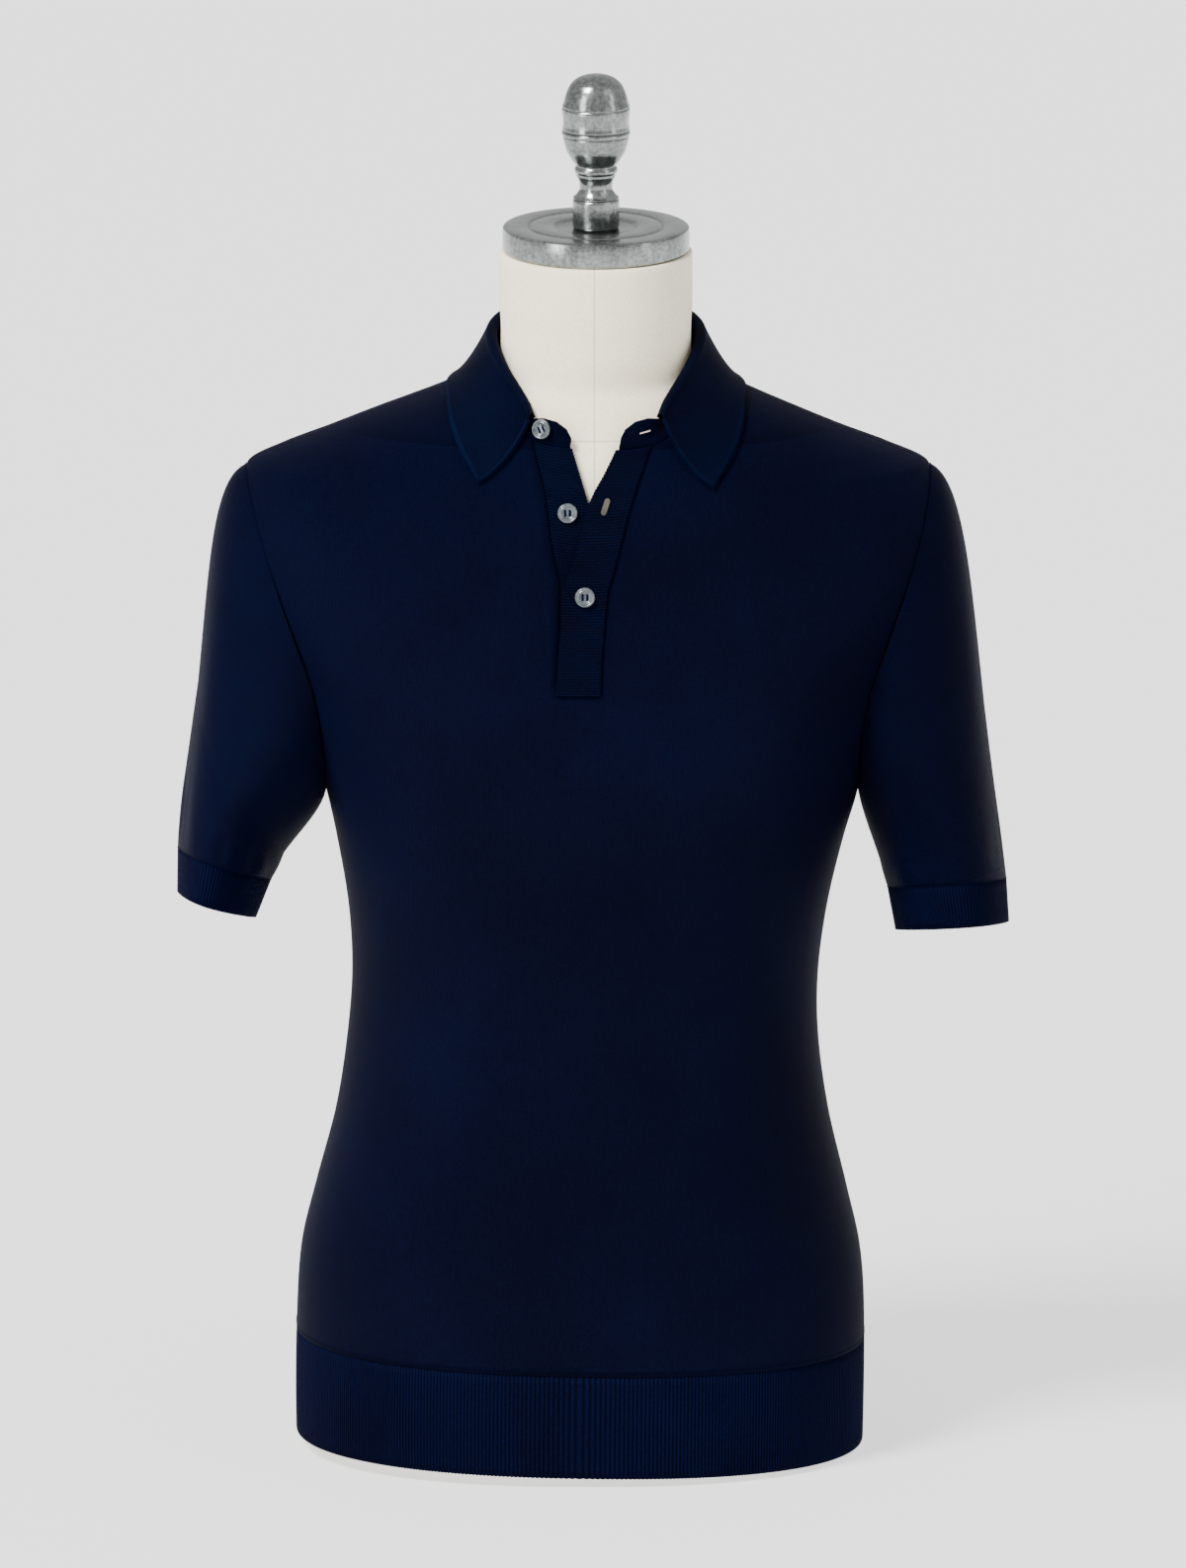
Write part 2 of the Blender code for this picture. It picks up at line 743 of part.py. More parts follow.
def band_rows():
    """Angle, top radius and top height of the collar band from left end to right end."""
    half = [list(row) for row in BAND_TOP]
    for side, row in collar_rows():
        if side < 0:
            half.append([row[0], row[1], row[2] - ROLL_RADIUS - SEAM_GAP])
    left = [(-row[0], row[1], row[2]) for row in half]
    right = [(row[0], row[1], row[2]) for row in reversed(half[:-1])]
    return left + right


def band_point(angle, top_radius, top_z, height):
    x, y = neckline_plan(angle)
    foot = Vector((x, y, min(NECK_POINT, surface_height(x, y)) + BAND_FOOT_GAP))
    top = polar(angle, top_radius, top_z)
    point = foot.lerp(top, 1.0 - (1.0 - height) ** BAND_HOLLOW)
    point.z = blend(foot.z, top.z, height)
    return point


def collar_band():
    heights = (0.0, 0.3, 0.6, 1.0)
    grid = []
    for height in heights:
        grid.append([band_point(*row, height) for row in band_rows()])
    grid = [list(reversed(row)) for row in grid]
    return cloth_sheet("collar_band", grid, "collar_knit")


def neckline_height(x):
    """Height of the neckline above the placket at one x."""
    shift, width, _ = neck_reach(-1)
    y = -NECK_FRONT * (1.0 - (abs(x - shift) / width) ** NECK_POWER) ** (1.0 / NECK_POWER)
    return surface_height(x, y)


def placket(name, left_edge, right_edge, bottom, out):
    """Strip of knitting along the slit, between two edges that are functions of height."""
    rows, columns = 15, 5
    grid = []
    for j in range(rows):
        row = []
        for i in range(columns):
            share = i / (columns - 1.0)
            z = blend(bottom, PLACKET_TOP, j / (rows - 1.0))
            x = blend(left_edge(z), right_edge(z), share)
            top = neckline_height(x) - SEAM_GAP
            z = blend(bottom, top, j / (rows - 1.0))
            row.append(torso_point(z, u_at(x, z, -1), -1, out))
        grid.append(row)
    return cloth_sheet(name, grid, "collar_knit")


def under_left(z):
    return smooth_value(SLIT, 1, z) + 2.0 * SEAM_GAP


def under_right(z):
    if z > LOWER_EDGE[0][0]:
        return smooth_value(LOWER_EDGE, 1, z)
    covered = under_left(z) + PLACKET_WIDTH
    return min(covered, slit_edges(z)[1] - SEAM_GAP)


def over_left(z):
    return smooth_value(SLIT, 3, z)


def over_right(z):
    return smooth_value(SLIT, 2, z)


def button(name, foot, normal):
    """Sewn button with a raised rim, a groove and four holes, standing on a point."""
    r, h = BUTTON_RADIUS, BUTTON_HEIGHT
    profile = [
        (0.0, 0.55 * h),
        (0.52 * r, 0.55 * h),
        (0.62 * r, 0.92 * h),
        (0.72 * r, 0.80 * h),
        (0.86 * r, h),
        (r, 0.5 * h),
        (0.86 * r, 0.1 * h),
        (0.6 * r, 0.0),
        (0.0, 0.0),
    ]
    turn = Vector((0, 0, 1)).rotation_difference(normal).to_matrix().to_4x4()
    place = Matrix.Translation((foot + normal * SEAM_GAP) * METRES) @ turn
    piece = turned(name, profile, 0.0, 16, "pearl_button", place)
    drill = bmesh.new()
    for a in (-1, 1):
        for b in (-1, 1):
            spot = Vector((a, b, 0.3 * h)) * METRES
            spot.x *= BUTTON_HOLE_SPACING
            spot.y *= BUTTON_HOLE_SPACING
            bmesh.ops.create_cone(
                drill, cap_ends=True, segments=6, radius1=BUTTON_HOLE_RADIUS * METRES,
                radius2=BUTTON_HOLE_RADIUS * METRES, depth=4.0 * h * METRES, matrix=Matrix.Translation(spot))
    mesh = bpy.data.meshes.new(name + "_drill")
    drill.to_mesh(mesh)
    drill.free()
    cutter = bpy.data.objects.new(name + "_drill", mesh)
    cutter.matrix_world = place
    cutter.hide_render = True
    cutter.display_type = "WIRE"
    cutters.objects.link(cutter)
    cut = piece.modifiers.new("holes", "BOOLEAN")
    cut.operation = "DIFFERENCE"
    cut.solver = "EXACT"
    cut.object = cutter
    return piece


def button_on_front(name, x, z, out):
    u = u_at(x, z, -1)
    return button(name, torso_point(z, u, -1, out), torso_normal(z, u, -1))


def button_on_band(name, angle, height):
    rows = band_rows()
    row = min(rows, key=lambda r: abs(r[0] - angle))
    k = rows.index(row)
    here = band_point(*row, height)
    across = band_point(*rows[k + 1], height) - band_point(*rows[k - 1], height)
    up = band_point(*row, 1.0) - band_point(*row, 0.0)
    normal = across.cross(up).normalized()
    if normal.dot(here) < 0.0:
        normal.negate()
    return button(name, here + normal * 0.2, normal)


def form_rows():
    """Heights of the form's rings and how far each is set in, with the round lower edge."""
    rows = []
    for k in range(BASE_RINGS + 1):
        turn = math.pi / 2.0 * k / BASE_RINGS
        rows.append((BASE_RADIUS * (1.0 - math.cos(turn)), BASE_RADIUS * (1.0 - math.sin(turn))))
    for z in panel_heights()[1:]:
        rows.append((z - FORM_DROP, 0.0))
    for z in NECK_RINGS:
        rows.append((z, 0.0))
    rows.append((NECK_TOP - 1.0, 0.0))
    rows.append((NECK_TOP, 1.0))
    return rows


def form_body():
    """Padded torso with plain rounded shoulder ends and a neck, flat underneath."""
    half = FORM_HALF_COLUMNS
    points, rings = [], 0
    for z, inset in form_rows():
        rise = max(0.0, min(1.0, (z - NECK_POINT) / NECK_RISE))
        hollow = math.exp(-((z - NECK_POINT) / NECK_HOLLOW) ** 2)
        depth = inset + FORM_INSET * (1.0 - rise) + FORM_NECK_INSET * hollow
        source = z + FORM_DROP * (1.0 - rise)
        shift = smooth_value(TORSO, SHIFT, source)
        for face, start, end in ((-1, -1.0, 1.0), (1, 1.0, -1.0)):
            for k in range(half):
                u = blend(start, end, k / half)
                point = torso_point(source, u, face)
                flat = Vector((point.x - shift, point.y, 0.0))
                flat *= 1.0 - depth / max(1.0, flat.length)
                if ARMPIT - STUMP_BELOW < source < SHOULDER_POINT + STUMP_ABOVE:
                    knee = smooth_value(ARMHOLE, 1, source) + FORM_STUMP - STUMP_EDGE
                    if abs(flat.x) > knee:
                        over = STUMP_EDGE * math.tanh((abs(flat.x) - knee) / STUMP_EDGE)
                        flat.x = math.copysign(knee + over, flat.x)
                points.append((shift + flat.x, flat.y, z))
        rings += 1
    columns = 2 * half
    faces = grid_faces(rings, columns, True)
    faces.append(tuple(reversed(range(columns))))
    faces.append(tuple((rings - 1) * columns + k for k in range(columns)))
    return add_object("form_body", mesh_from("form_body", points, faces), "canvas")


# ---- scene ----

for old in list(bpy.data.objects):
    bpy.data.objects.remove(old, do_unlink=True)

collection = bpy.data.collections.new("polo_shirt_on_dress_form")
bpy.context.scene.collection.children.link(collection)
cutters = bpy.data.collections.new("cutters")
bpy.context.scene.collection.children.link(cutters)
materials = {name: make_material(name) for name in FINISHES}

front_panel()
back_panel()
hem_band("hem_front", -1)
hem_band("hem_back", 1)
for sleeve_name in ("left", "right"):
    sleeve(sleeve_name)
    cuff(sleeve_name)
collar()
collar_band()
placket("placket_under", under_left, under_right, SLIT_BOTTOM + SEAM_GAP, 0.0)
placket("placket_over", over_left, over_right, PLACKET_BOTTOM, LAYER)
button_on_band("button_1", -25.0, 0.5)
button_on_front("button_2", -18.0, 633.0, 0.0)
button_on_front("button_3", -7.0, 582.0, LAYER)
form_body()
turned("neck_cap", CAP_PROFILE, 0.0, 32, "pewter")
turned("finial", FINIAL_PROFILE, FINIAL_BASE, 16, "pewter")
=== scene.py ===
import math

import bmesh
import bpy
from mathutils import Matrix, Vector


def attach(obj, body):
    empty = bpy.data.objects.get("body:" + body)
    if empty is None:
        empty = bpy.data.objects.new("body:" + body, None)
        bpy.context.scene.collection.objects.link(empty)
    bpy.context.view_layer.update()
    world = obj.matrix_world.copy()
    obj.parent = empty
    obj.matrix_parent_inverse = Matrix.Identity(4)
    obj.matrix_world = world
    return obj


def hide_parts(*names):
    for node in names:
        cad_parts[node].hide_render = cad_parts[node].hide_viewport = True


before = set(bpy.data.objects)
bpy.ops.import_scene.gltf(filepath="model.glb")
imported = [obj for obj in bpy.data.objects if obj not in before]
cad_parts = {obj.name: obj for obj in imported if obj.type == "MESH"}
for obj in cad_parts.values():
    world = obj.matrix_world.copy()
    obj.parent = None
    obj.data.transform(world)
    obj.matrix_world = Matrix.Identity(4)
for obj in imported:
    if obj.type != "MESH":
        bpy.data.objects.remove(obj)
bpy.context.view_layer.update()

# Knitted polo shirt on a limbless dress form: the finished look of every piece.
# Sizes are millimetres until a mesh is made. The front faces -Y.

mm = 0.001
quarterTurn = math.pi / 2.0


# numbers and curves

def smoothValue(rows, column, at):  # smooth curve through the rows, without overshoot
    knots = [row[0] for row in rows]
    values = [row[column] for row in rows]
    if at <= knots[0]:
        return values[0]
    if at >= knots[-1]:
        return values[-1]
    k = max(i for i in range(len(knots) - 1) if knots[i] <= at)
    step = knots[k + 1] - knots[k]
    slopes = [(values[i + 1] - values[i]) / (knots[i + 1] - knots[i]) for i in range(len(knots) - 1)]

    def tangent(i):
        if i == 0 or i == len(knots) - 1:
            return slopes[k]
        before, after = slopes[i - 1], slopes[i]
        if before * after <= 0.0:
            return 0.0
        limit = 2.5 * min(abs(before), abs(after))
        return max(-limit, min(limit, (before + after) / 2.0))

    s = (at - knots[k]) / step
    rise = s * s * (3.0 - 2.0 * s) * (values[k + 1] - values[k])
    return values[k] + rise + s * (1.0 - s) ** 2 * step * tangent(k) - s * s * (1.0 - s) * step * tangent(k + 1)


def blend(a, b, t):
    return a + (b - a) * t


def bezier(a, b, c, d, t):
    r = 1.0 - t
    return a * r ** 3 + b * (3 * r * r * t) + c * (3 * r * t * t) + d * t ** 3


def signedPower(value, exponent):
    return math.copysign(abs(value) ** exponent, value)


def bump(distance, width):  # soft hill, 1 at its middle
    return math.exp(-(distance / width) ** 2)


# the body under the cloth

torso = {  # height, shift, half width, front depth, back depth, power
    "rows": [
        (0, -10.6, 182.8, 120.0, 121.0, 2.35),
        (40, -10.4, 183.3, 122.0, 123.0, 2.35),
        (90, -9.8, 182.7, 123.0, 124.0, 2.35),
        (130, -9.6, 179.8, 121.5, 122.5, 2.32),
        (169, -9.4, 170.9, 117.0, 117.5, 2.30),
        (221, -8.9, 158.2, 111.0, 109.0, 2.25),
        (273, -8.4, 151.0, 107.5, 103.0, 2.20),
        (306, -7.2, 149.5, 106.5, 102.0, 2.20),
        (352, -5.4, 152.8, 109.5, 105.0, 2.25),
        (404, -3.6, 162.7, 116.5, 112.0, 2.35),
        (433, -2.5, 170.0, 120.0, 116.0, 2.40),
        (470, -2.5, 178.0, 122.0, 120.0, 2.40),
        (524, -2.5, 190.0, 118.0, 123.0, 2.35),
        (560, -2.6, 200.0, 112.0, 121.0, 2.30),
        (600, -3.0, 212.0, 102.0, 113.0, 2.20),
        (633, -4.0, 217.5, 91.5, 101.0, 2.10),
        (644, -5.0, 218.0, 87.5, 96.0, 2.05),
        (655, -6.0, 198.0, 83.3, 90.5, 2.00),
        (665, -6.2, 171.5, 79.3, 85.0, 2.00),
        (678, -5.5, 139.0, 74.3, 78.5, 2.00),
        (691, -3.0, 106.0, 69.5, 73.0, 2.00),
        (703, -1.0, 79.0, 66.3, 69.3, 2.00),
        (715, -0.3, 67.0, 64.0, 66.0, 2.00),
        (730, 0.0, 62.4, 62.2, 63.0, 2.00),
        (748, 0.0, 61.4, 61.4, 61.4, 2.00),
        (784, 0.0, 61.4, 61.4, 61.4, 2.00),
    ],
    "armpit": 433.0, "shoulder": 644.0, "armholeFront": 66.0, "armholeBack": 70.0,
    "armhole": [(433, 170.0), (470, 171.5), (511, 178.0), (541, 188.0), (569, 198.0), (606, 210.0),
                (635, 217.0), (644, 218.0)],
    "neckPoint": 704.5, "neckFront": 76.5, "neckPower": 2.8, "search": (560.0, 760.0), "searchSteps": 26,
    "tilt": -0.018, "tiltFrom": 74.0, "tiltOver": 166.0,
}
sectionCache = {}


def armholeHeight(turn):
    middle = (torso["shoulder"] + torso["armpit"]) / 2.0
    return middle + (torso["shoulder"] - torso["armpit"]) / 2.0 * math.cos(2.0 * math.pi * turn)


def section(z, face):
    key = (round(z, 3), face)
    if key not in sectionCache:
        rows = torso["rows"]
        shift, width = smoothValue(rows, 1, z), smoothValue(rows, 2, z)
        depth, power = smoothValue(rows, 3 if face < 0 else 4, z), smoothValue(rows, 5, z)
        if torso["armpit"] < z < torso["shoulder"]:
            middle = (torso["shoulder"] + torso["armpit"]) / 2.0
            rise = (z - middle) / ((torso["shoulder"] - torso["armpit"]) / 2.0)
            reach = torso["armholeFront"] if face < 0 else torso["armholeBack"]
            reach *= math.sqrt(max(0.0, 1.0 - rise * rise))
            edge = smoothValue(torso["armhole"], 1, z)
            width = edge / (1.0 - (reach / depth) ** power) ** (1.0 / power)
        sectionCache[key] = (shift, width, depth, power)
    return sectionCache[key]


def torsoPoint(z, u, face):
    shift, width, depth, power = section(z, face)
    x = shift + width * signedPower(math.sin(u * quarterTurn), 2.0 / power)
    return Vector((x, face * depth * max(0.0, math.cos(u * quarterTurn)) ** (2.0 / power), z))


def torsoNormal(z, u, face):
    across = torsoPoint(z, min(1.0, u + 0.01), face) - torsoPoint(z, max(-1.0, u - 0.01), face)
    normal = across.cross(torsoPoint(z + 1.0, u, face) - torsoPoint(z - 1.0, u, face))
    if normal.y * face < 0.0:
        normal.negate()
    return normal.normalized()


def uAt(x, z, face):
    shift, width, _, power = section(z, face)
    ratio = max(-1.0, min(1.0, (x - shift) / width))
    return math.copysign(math.asin(abs(ratio) ** (power / 2.0)) / quarterTurn, ratio)


def sideLimit(z, face):
    _, width, depth, power = section(z, face)
    if torso["armpit"] < z < torso["shoulder"]:
        return math.asin((smoothValue(torso["armhole"], 1, z) / width) ** (power / 2.0)) / quarterTurn
    return math.acos((0.12 / depth) ** (power / 2.0)) / quarterTurn


def neckReach(face):
    shift, width, depth, _ = section(torso["neckPoint"], face)
    return shift, width, torso["neckFront"] if face < 0 else depth


def inNeckline(x, y):
    shift, width, depth = neckReach(-1)
    power = torso["neckPower"]
    return (abs(x - shift) / (width + 0.3)) ** power + (abs(y) / (depth + 0.3)) ** power < 1.0


def necklinePlan(angle):
    sine, cosine = math.sin(math.radians(angle)), math.cos(math.radians(angle))
    shift, width, depth = neckReach(-1 if cosine > 0 else 1)
    power = torso["neckPower"] if cosine > 0 else 2.0
    radius = ((abs(sine) / width) ** power + (abs(cosine) / depth) ** power) ** (-1.0 / power)
    return shift + radius * sine, -radius * cosine


def surfaceHeight(x, y):
    low, high = torso["search"]
    face = -1 if y < 0 else 1
    for _ in range(torso["searchSteps"]):
        middle = (low + high) / 2.0
        shift, width, depth, power = section(middle, face)
        inside = (abs(x - shift) / width) ** power + (abs(y) / depth) ** power < 1.0
        low, high = (middle, high) if inside else (low, middle)
    return low


def hemTilt(x, z):
    return torso["tilt"] * x * max(0.0, 1.0 - max(0.0, z - torso["tiltFrom"]) / torso["tiltOver"])


# shader groups that several finishes share

def addNode(tree, kind, inputs=None, **settings):  # an input is a value, or the output that feeds it
    node = tree.nodes.new(kind)
    for name, value in settings.items():
        setattr(node, name, value)
    setInputs(tree, node, inputs or {})
    return node


def setInputs(tree, node, inputs):
    for name, value in inputs.items():
        if isinstance(value, bpy.types.NodeSocket):
            tree.links.new(value, node.inputs[name])
        else:
            node.inputs[name].default_value = value


def mathNode(tree, operation, a, b=None):
    inputs = {0: a} if b is None else {0: a, 1: b}
    return addNode(tree, "ShaderNodeMath", inputs, operation=operation).outputs[0]


def newGroup(name, inputs, outputs):
    group = bpy.data.node_groups.new(name, "ShaderNodeTree")
    for label, kind, value in inputs:
        socket = group.interface.new_socket(name=label, in_out="INPUT", socket_type="NodeSocket" + kind)
        if value is not None:
            socket.default_value = value
    for label, kind in outputs:
        group.interface.new_socket(name=label, in_out="OUTPUT", socket_type="NodeSocket" + kind)
    return group, group.nodes.new("NodeGroupInput").outputs, group.nodes.new("NodeGroupOutput")


def buildKnitGroup():  # rows and columns of small loops, in millimetres of the cloth
    group, given, end = newGroup(
        "knitLoops",
        [("Across", "Float", 0.0), ("Up", "Float", 0.0), ("Wale Pitch", "Float", 1.0),
         ("Course Pitch", "Float", 0.8), ("Unevenness", "Float", 0.3)],
        [("Height", "Float"), ("Mask", "Float")])
    joined = addNode(group, "ShaderNodeCombineXYZ", {0: given["Across"], 1: given["Up"]})
    noise = addNode(group, "ShaderNodeTexNoise", {"Vector": joined.outputs[0], "Scale": 0.35, "Detail": 3.0})
    wobble = mathNode(group, "MULTIPLY", noise.outputs[0], given["Unevenness"])
    wale = mathNode(group, "DIVIDE", given["Across"], given["Wale Pitch"])
    wale = mathNode(group, "ADD", wale, wobble)
    course = mathNode(group, "DIVIDE", given["Up"], given["Course Pitch"])
    ridge = mathNode(group, "ABSOLUTE", mathNode(group, "SINE", mathNode(group, "MULTIPLY", wale, math.pi)))
    lean = mathNode(group, "MULTIPLY", ridge, 0.8)
    loop = mathNode(group, "MULTIPLY", mathNode(group, "ADD", course, lean), 2.0 * math.pi)
    height = mathNode(group, "ADD", mathNode(group, "MULTIPLY", ridge, 0.7),
                      mathNode(group, "MULTIPLY", mathNode(group, "SINE", loop), 0.3))
    setInputs(group, end, {"Height": height, "Mask": height})
    return group


def buildToneGroup():  # slow and fine changes of tone
    group, given, end = newGroup(
        "yarnTone",
        [("Vector", "Vector", None), ("Dark", "Color", (0, 0, 0, 1)), ("Light", "Color", (1, 1, 1, 1)),
         ("Patch Scale", "Float", 9.0), ("Speck Scale", "Float", 900.0)],
        [("Color", "Color"), ("Speck", "Float")])
    patch, speck = (addNode(group, "ShaderNodeTexNoise", {"Vector": given["Vector"], "Scale": given[scale],
                                                          "Detail": detail}).outputs[0]
                    for scale, detail in (("Patch Scale", 4.0), ("Speck Scale", 2.0)))
    both = mathNode(group, "ADD", mathNode(group, "MULTIPLY", patch, 0.45), mathNode(group, "MULTIPLY", speck, 0.55))
    level = addNode(group, "ShaderNodeMapRange", {"From Min": 0.36, "From Max": 0.64, "Value": both})
    mix = addNode(group, "ShaderNodeMix", {"Factor": level.outputs[0], "A": given["Dark"], "B": given["Light"]},
                  data_type="RGBA")
    setInputs(group, end, {"Color": mix.outputs["Result"], "Speck": speck})
    return group


def scaleColor(tree, color, factor):
    return addNode(tree, "ShaderNodeVectorMath", {0: color, "Scale": factor}, operation="SCALE").outputs[0]


def buildRibShadeGroup():  # painted light and shade: ridges a little lighter than the grooves between them
    group, given, end = newGroup(
        "ribShade", [("Color", "Color", (1, 1, 1, 1)), ("Run", "Float", 0.0), ("Pitch", "Float", 2.1),
                     ("Groove", "Float", 0.35), ("Ridge", "Float", 1.35)], [("Color", "Color")])
    turns = mathNode(group, "DIVIDE", given["Run"], given["Pitch"])
    wave = mathNode(group, "ABSOLUTE", mathNode(group, "SINE", mathNode(group, "MULTIPLY", turns, math.pi)))
    level = addNode(group, "ShaderNodeMapRange", {"Value": wave, "To Min": given["Groove"], "To Max": given["Ridge"]})
    setInputs(group, end, {"Color": scaleColor(group, given["Color"], level.outputs[0])})
    return group


def buildSeamGroup():  # thin line where two pieces of canvas meet, at a place on one axis
    group, given, end = newGroup(
        "canvasSeam", [("Along", "Float", 0.0), ("Place", "Float", 0.0), ("Width", "Float", 0.0006)],
        [("Mask", "Float")])
    away = mathNode(group, "ABSOLUTE", mathNode(group, "SUBTRACT", given["Along"], given["Place"]))
    mask = mathNode(group, "SUBTRACT", 1.0, mathNode(group, "DIVIDE", away, given["Width"]))
    setInputs(group, end, {"Mask": mathNode(group, "MAXIMUM", mask, 0.0)})
    return group


knitGroup = buildKnitGroup()
ribShadeGroup = buildRibShadeGroup()
seamGroup = buildSeamGroup()
toneGroup = buildToneGroup()


# finishes

def startMaterial(name, inputs):
    material = bpy.data.materials.new(name)
    material.use_nodes = True
    tree = material.node_tree
    shader = tree.nodes["Principled BSDF"]
    setInputs(tree, shader, inputs)
    return material, tree, shader


def addGroup(tree, group, inputs):
    return addNode(tree, "ShaderNodeGroup", inputs, node_tree=group).outputs


def addTone(tree, look):  # tone over the object, and the place it is read at
    place = addNode(tree, "ShaderNodeTexCoord").outputs["Object"]
    inputs = {"Vector": place, "Dark": (*look["dark"], 1), "Light": (*look["light"], 1), "Patch Scale": look["patch"],
              "Speck Scale": look.get("speck", 900.0)}
    return addGroup(tree, toneGroup, inputs), place


def splitAxes(tree, vector):
    return addNode(tree, "ShaderNodeSeparateXYZ", {0: vector}).outputs


def clothAxes(tree):  # across and up the flat cloth, in metres
    return splitAxes(tree, addNode(tree, "ShaderNodeUVMap", uv_map="weave").outputs[0])


def addRelief(tree, shader, height, strength, distance):
    bumps = addNode(tree, "ShaderNodeBump", {"Strength": strength, "Distance": distance, "Height": height})
    tree.links.new(bumps.outputs[0], shader.inputs["Normal"])


knitShine = {"specular": 0.017, "reliefDepth": 0.0004}


def knitMaterial(name, look):
    material, tree, shader = startMaterial(name, {"Roughness": look["roughness"],
                                                  "Specular IOR Level": knitShine["specular"]})
    flat = clothAxes(tree)
    knit = addGroup(tree, knitGroup, {
        "Wale Pitch": look["wale"], "Course Pitch": look["course"], "Unevenness": look["uneven"],
        "Across": mathNode(tree, "MULTIPLY", flat[0], 1000.0), "Up": mathNode(tree, "MULTIPLY", flat[1], 1000.0)})
    tone, _ = addTone(tree, look)
    grey = addNode(tree, "ShaderNodeCombineColor", {k: knit["Mask"] for k in range(3)})
    color = addNode(tree, "ShaderNodeMix", {"Factor": look["grooveShade"], "A": tone["Color"], "B": grey.outputs[0]},
                    data_type="RGBA", blend_type="MULTIPLY").outputs["Result"]
    if "ribPitch" in look:
        run = addNode(tree, "ShaderNodeAttribute", attribute_name="ribRun").outputs["Fac"]
        color = addGroup(tree, ribShadeGroup, {"Pitch": look["ribPitch"], "Ridge": look["ridge"], "Color": color,
                                               "Run": mathNode(tree, "MULTIPLY", run, 1000.0)})["Color"]
    tree.links.new(color, shader.inputs["Base Color"])
    addRelief(tree, shader, knit["Height"], look["relief"], knitShine["reliefDepth"])
    return material


knitLooks = {  # colours are linear, pitches are millimetres
    "jersey": {"dark": (0.0009, 0.0011, 0.0085), "light": (0.0019, 0.0034, 0.0222), "wale": 0.95, "course": 0.75,
               "uneven": 0.35, "relief": 1.0, "grooveShade": 0.6, "roughness": 0.58, "patch": 7.0},
    "ribKnit": {"dark": (0.0005, 0.0007, 0.0066), "light": (0.0011, 0.0022, 0.0175), "wale": 1.05, "course": 0.8,
                "uneven": 0.1, "relief": 0.5, "grooveShade": 0.3, "roughness": 0.58, "patch": 9.0,
                "ribPitch": 2.1, "ridge": 1.4},
    "collarKnit": {"dark": (0.0004, 0.0010, 0.0080), "light": (0.0009, 0.0027, 0.0170), "wale": 0.8, "course": 0.9,
                   "uneven": 0.25, "relief": 0.8, "grooveShade": 0.5, "roughness": 0.58, "patch": 12.0},
    "placketKnit": {"dark": (0.0004, 0.0007, 0.0055), "light": (0.0010, 0.0027, 0.0165), "wale": 1.3, "course": 1.8,
                    "uneven": 0.05, "relief": 1.0, "grooveShade": 0.9, "roughness": 0.56, "patch": 14.0,
                    "ribPitch": 1.8, "ridge": 2.1},
    "edgeYarn": {"dark": (0.0005, 0.0015, 0.0105), "light": (0.0011, 0.0036, 0.0200), "wale": 0.7, "course": 0.7,
                 "uneven": 0.2, "relief": 0.5, "grooveShade": 0.3, "roughness": 0.56, "patch": 20.0},
}
jersey, ribKnit, collarKnit, placketKnit, edgeYarn = (knitMaterial(*item) for item in knitLooks.items())


canvasLook = {"dark": (0.84, 0.75, 0.55), "light": (0.97, 0.89, 0.69), "patch": 16.0, "speck": 600.0,
              "roughness": 0.86, "sheen": 0.05, "thread": 0.45, "relief": 0.3, "reliefDepth": 0.0002,
              "centreSeam": -0.001, "neckSeam": 0.675, "seamShade": 0.45, "seamSink": 3.0}


def canvasMaterial():
    look = canvasLook
    material, tree, shader = startMaterial("canvas", {"Roughness": look["roughness"], "Sheen Weight": look["sheen"]})
    tone, place = addTone(tree, look)
    axes = splitAxes(tree, place)
    masks = [addGroup(tree, seamGroup, {"Place": spot, "Along": along})[0]
             for along, spot in ((axes[0], look["centreSeam"]), (axes[2], look["neckSeam"]))]
    seams = mathNode(tree, "MAXIMUM", *masks)
    shade = mathNode(tree, "SUBTRACT", 1.0, mathNode(tree, "MULTIPLY", seams, look["seamShade"]))
    tree.links.new(scaleColor(tree, tone["Color"], shade), shader.inputs["Base Color"])
    flat = clothAxes(tree)
    turns = 2.0 * math.pi * 1000.0 / look["thread"]
    warp, weft = (mathNode(tree, "SINE", mathNode(tree, "MULTIPLY", flat[k], turns)) for k in (0, 1))
    weave = mathNode(tree, "ADD", mathNode(tree, "MULTIPLY", warp, weft), tone["Speck"])
    weave = mathNode(tree, "SUBTRACT", weave, mathNode(tree, "MULTIPLY", seams, look["seamSink"]))
    addRelief(tree, shader, weave, look["relief"], look["reliefDepth"])
    return material


pewterLook = {"dark": (0.12, 0.132, 0.13), "light": (0.27, 0.285, 0.28), "patch": 55.0, "speck": 420.0,
              "smooth": 0.14, "rough": 0.28, "lathe": 1600.0, "relief": 0.2, "reliefDepth": 0.0002}


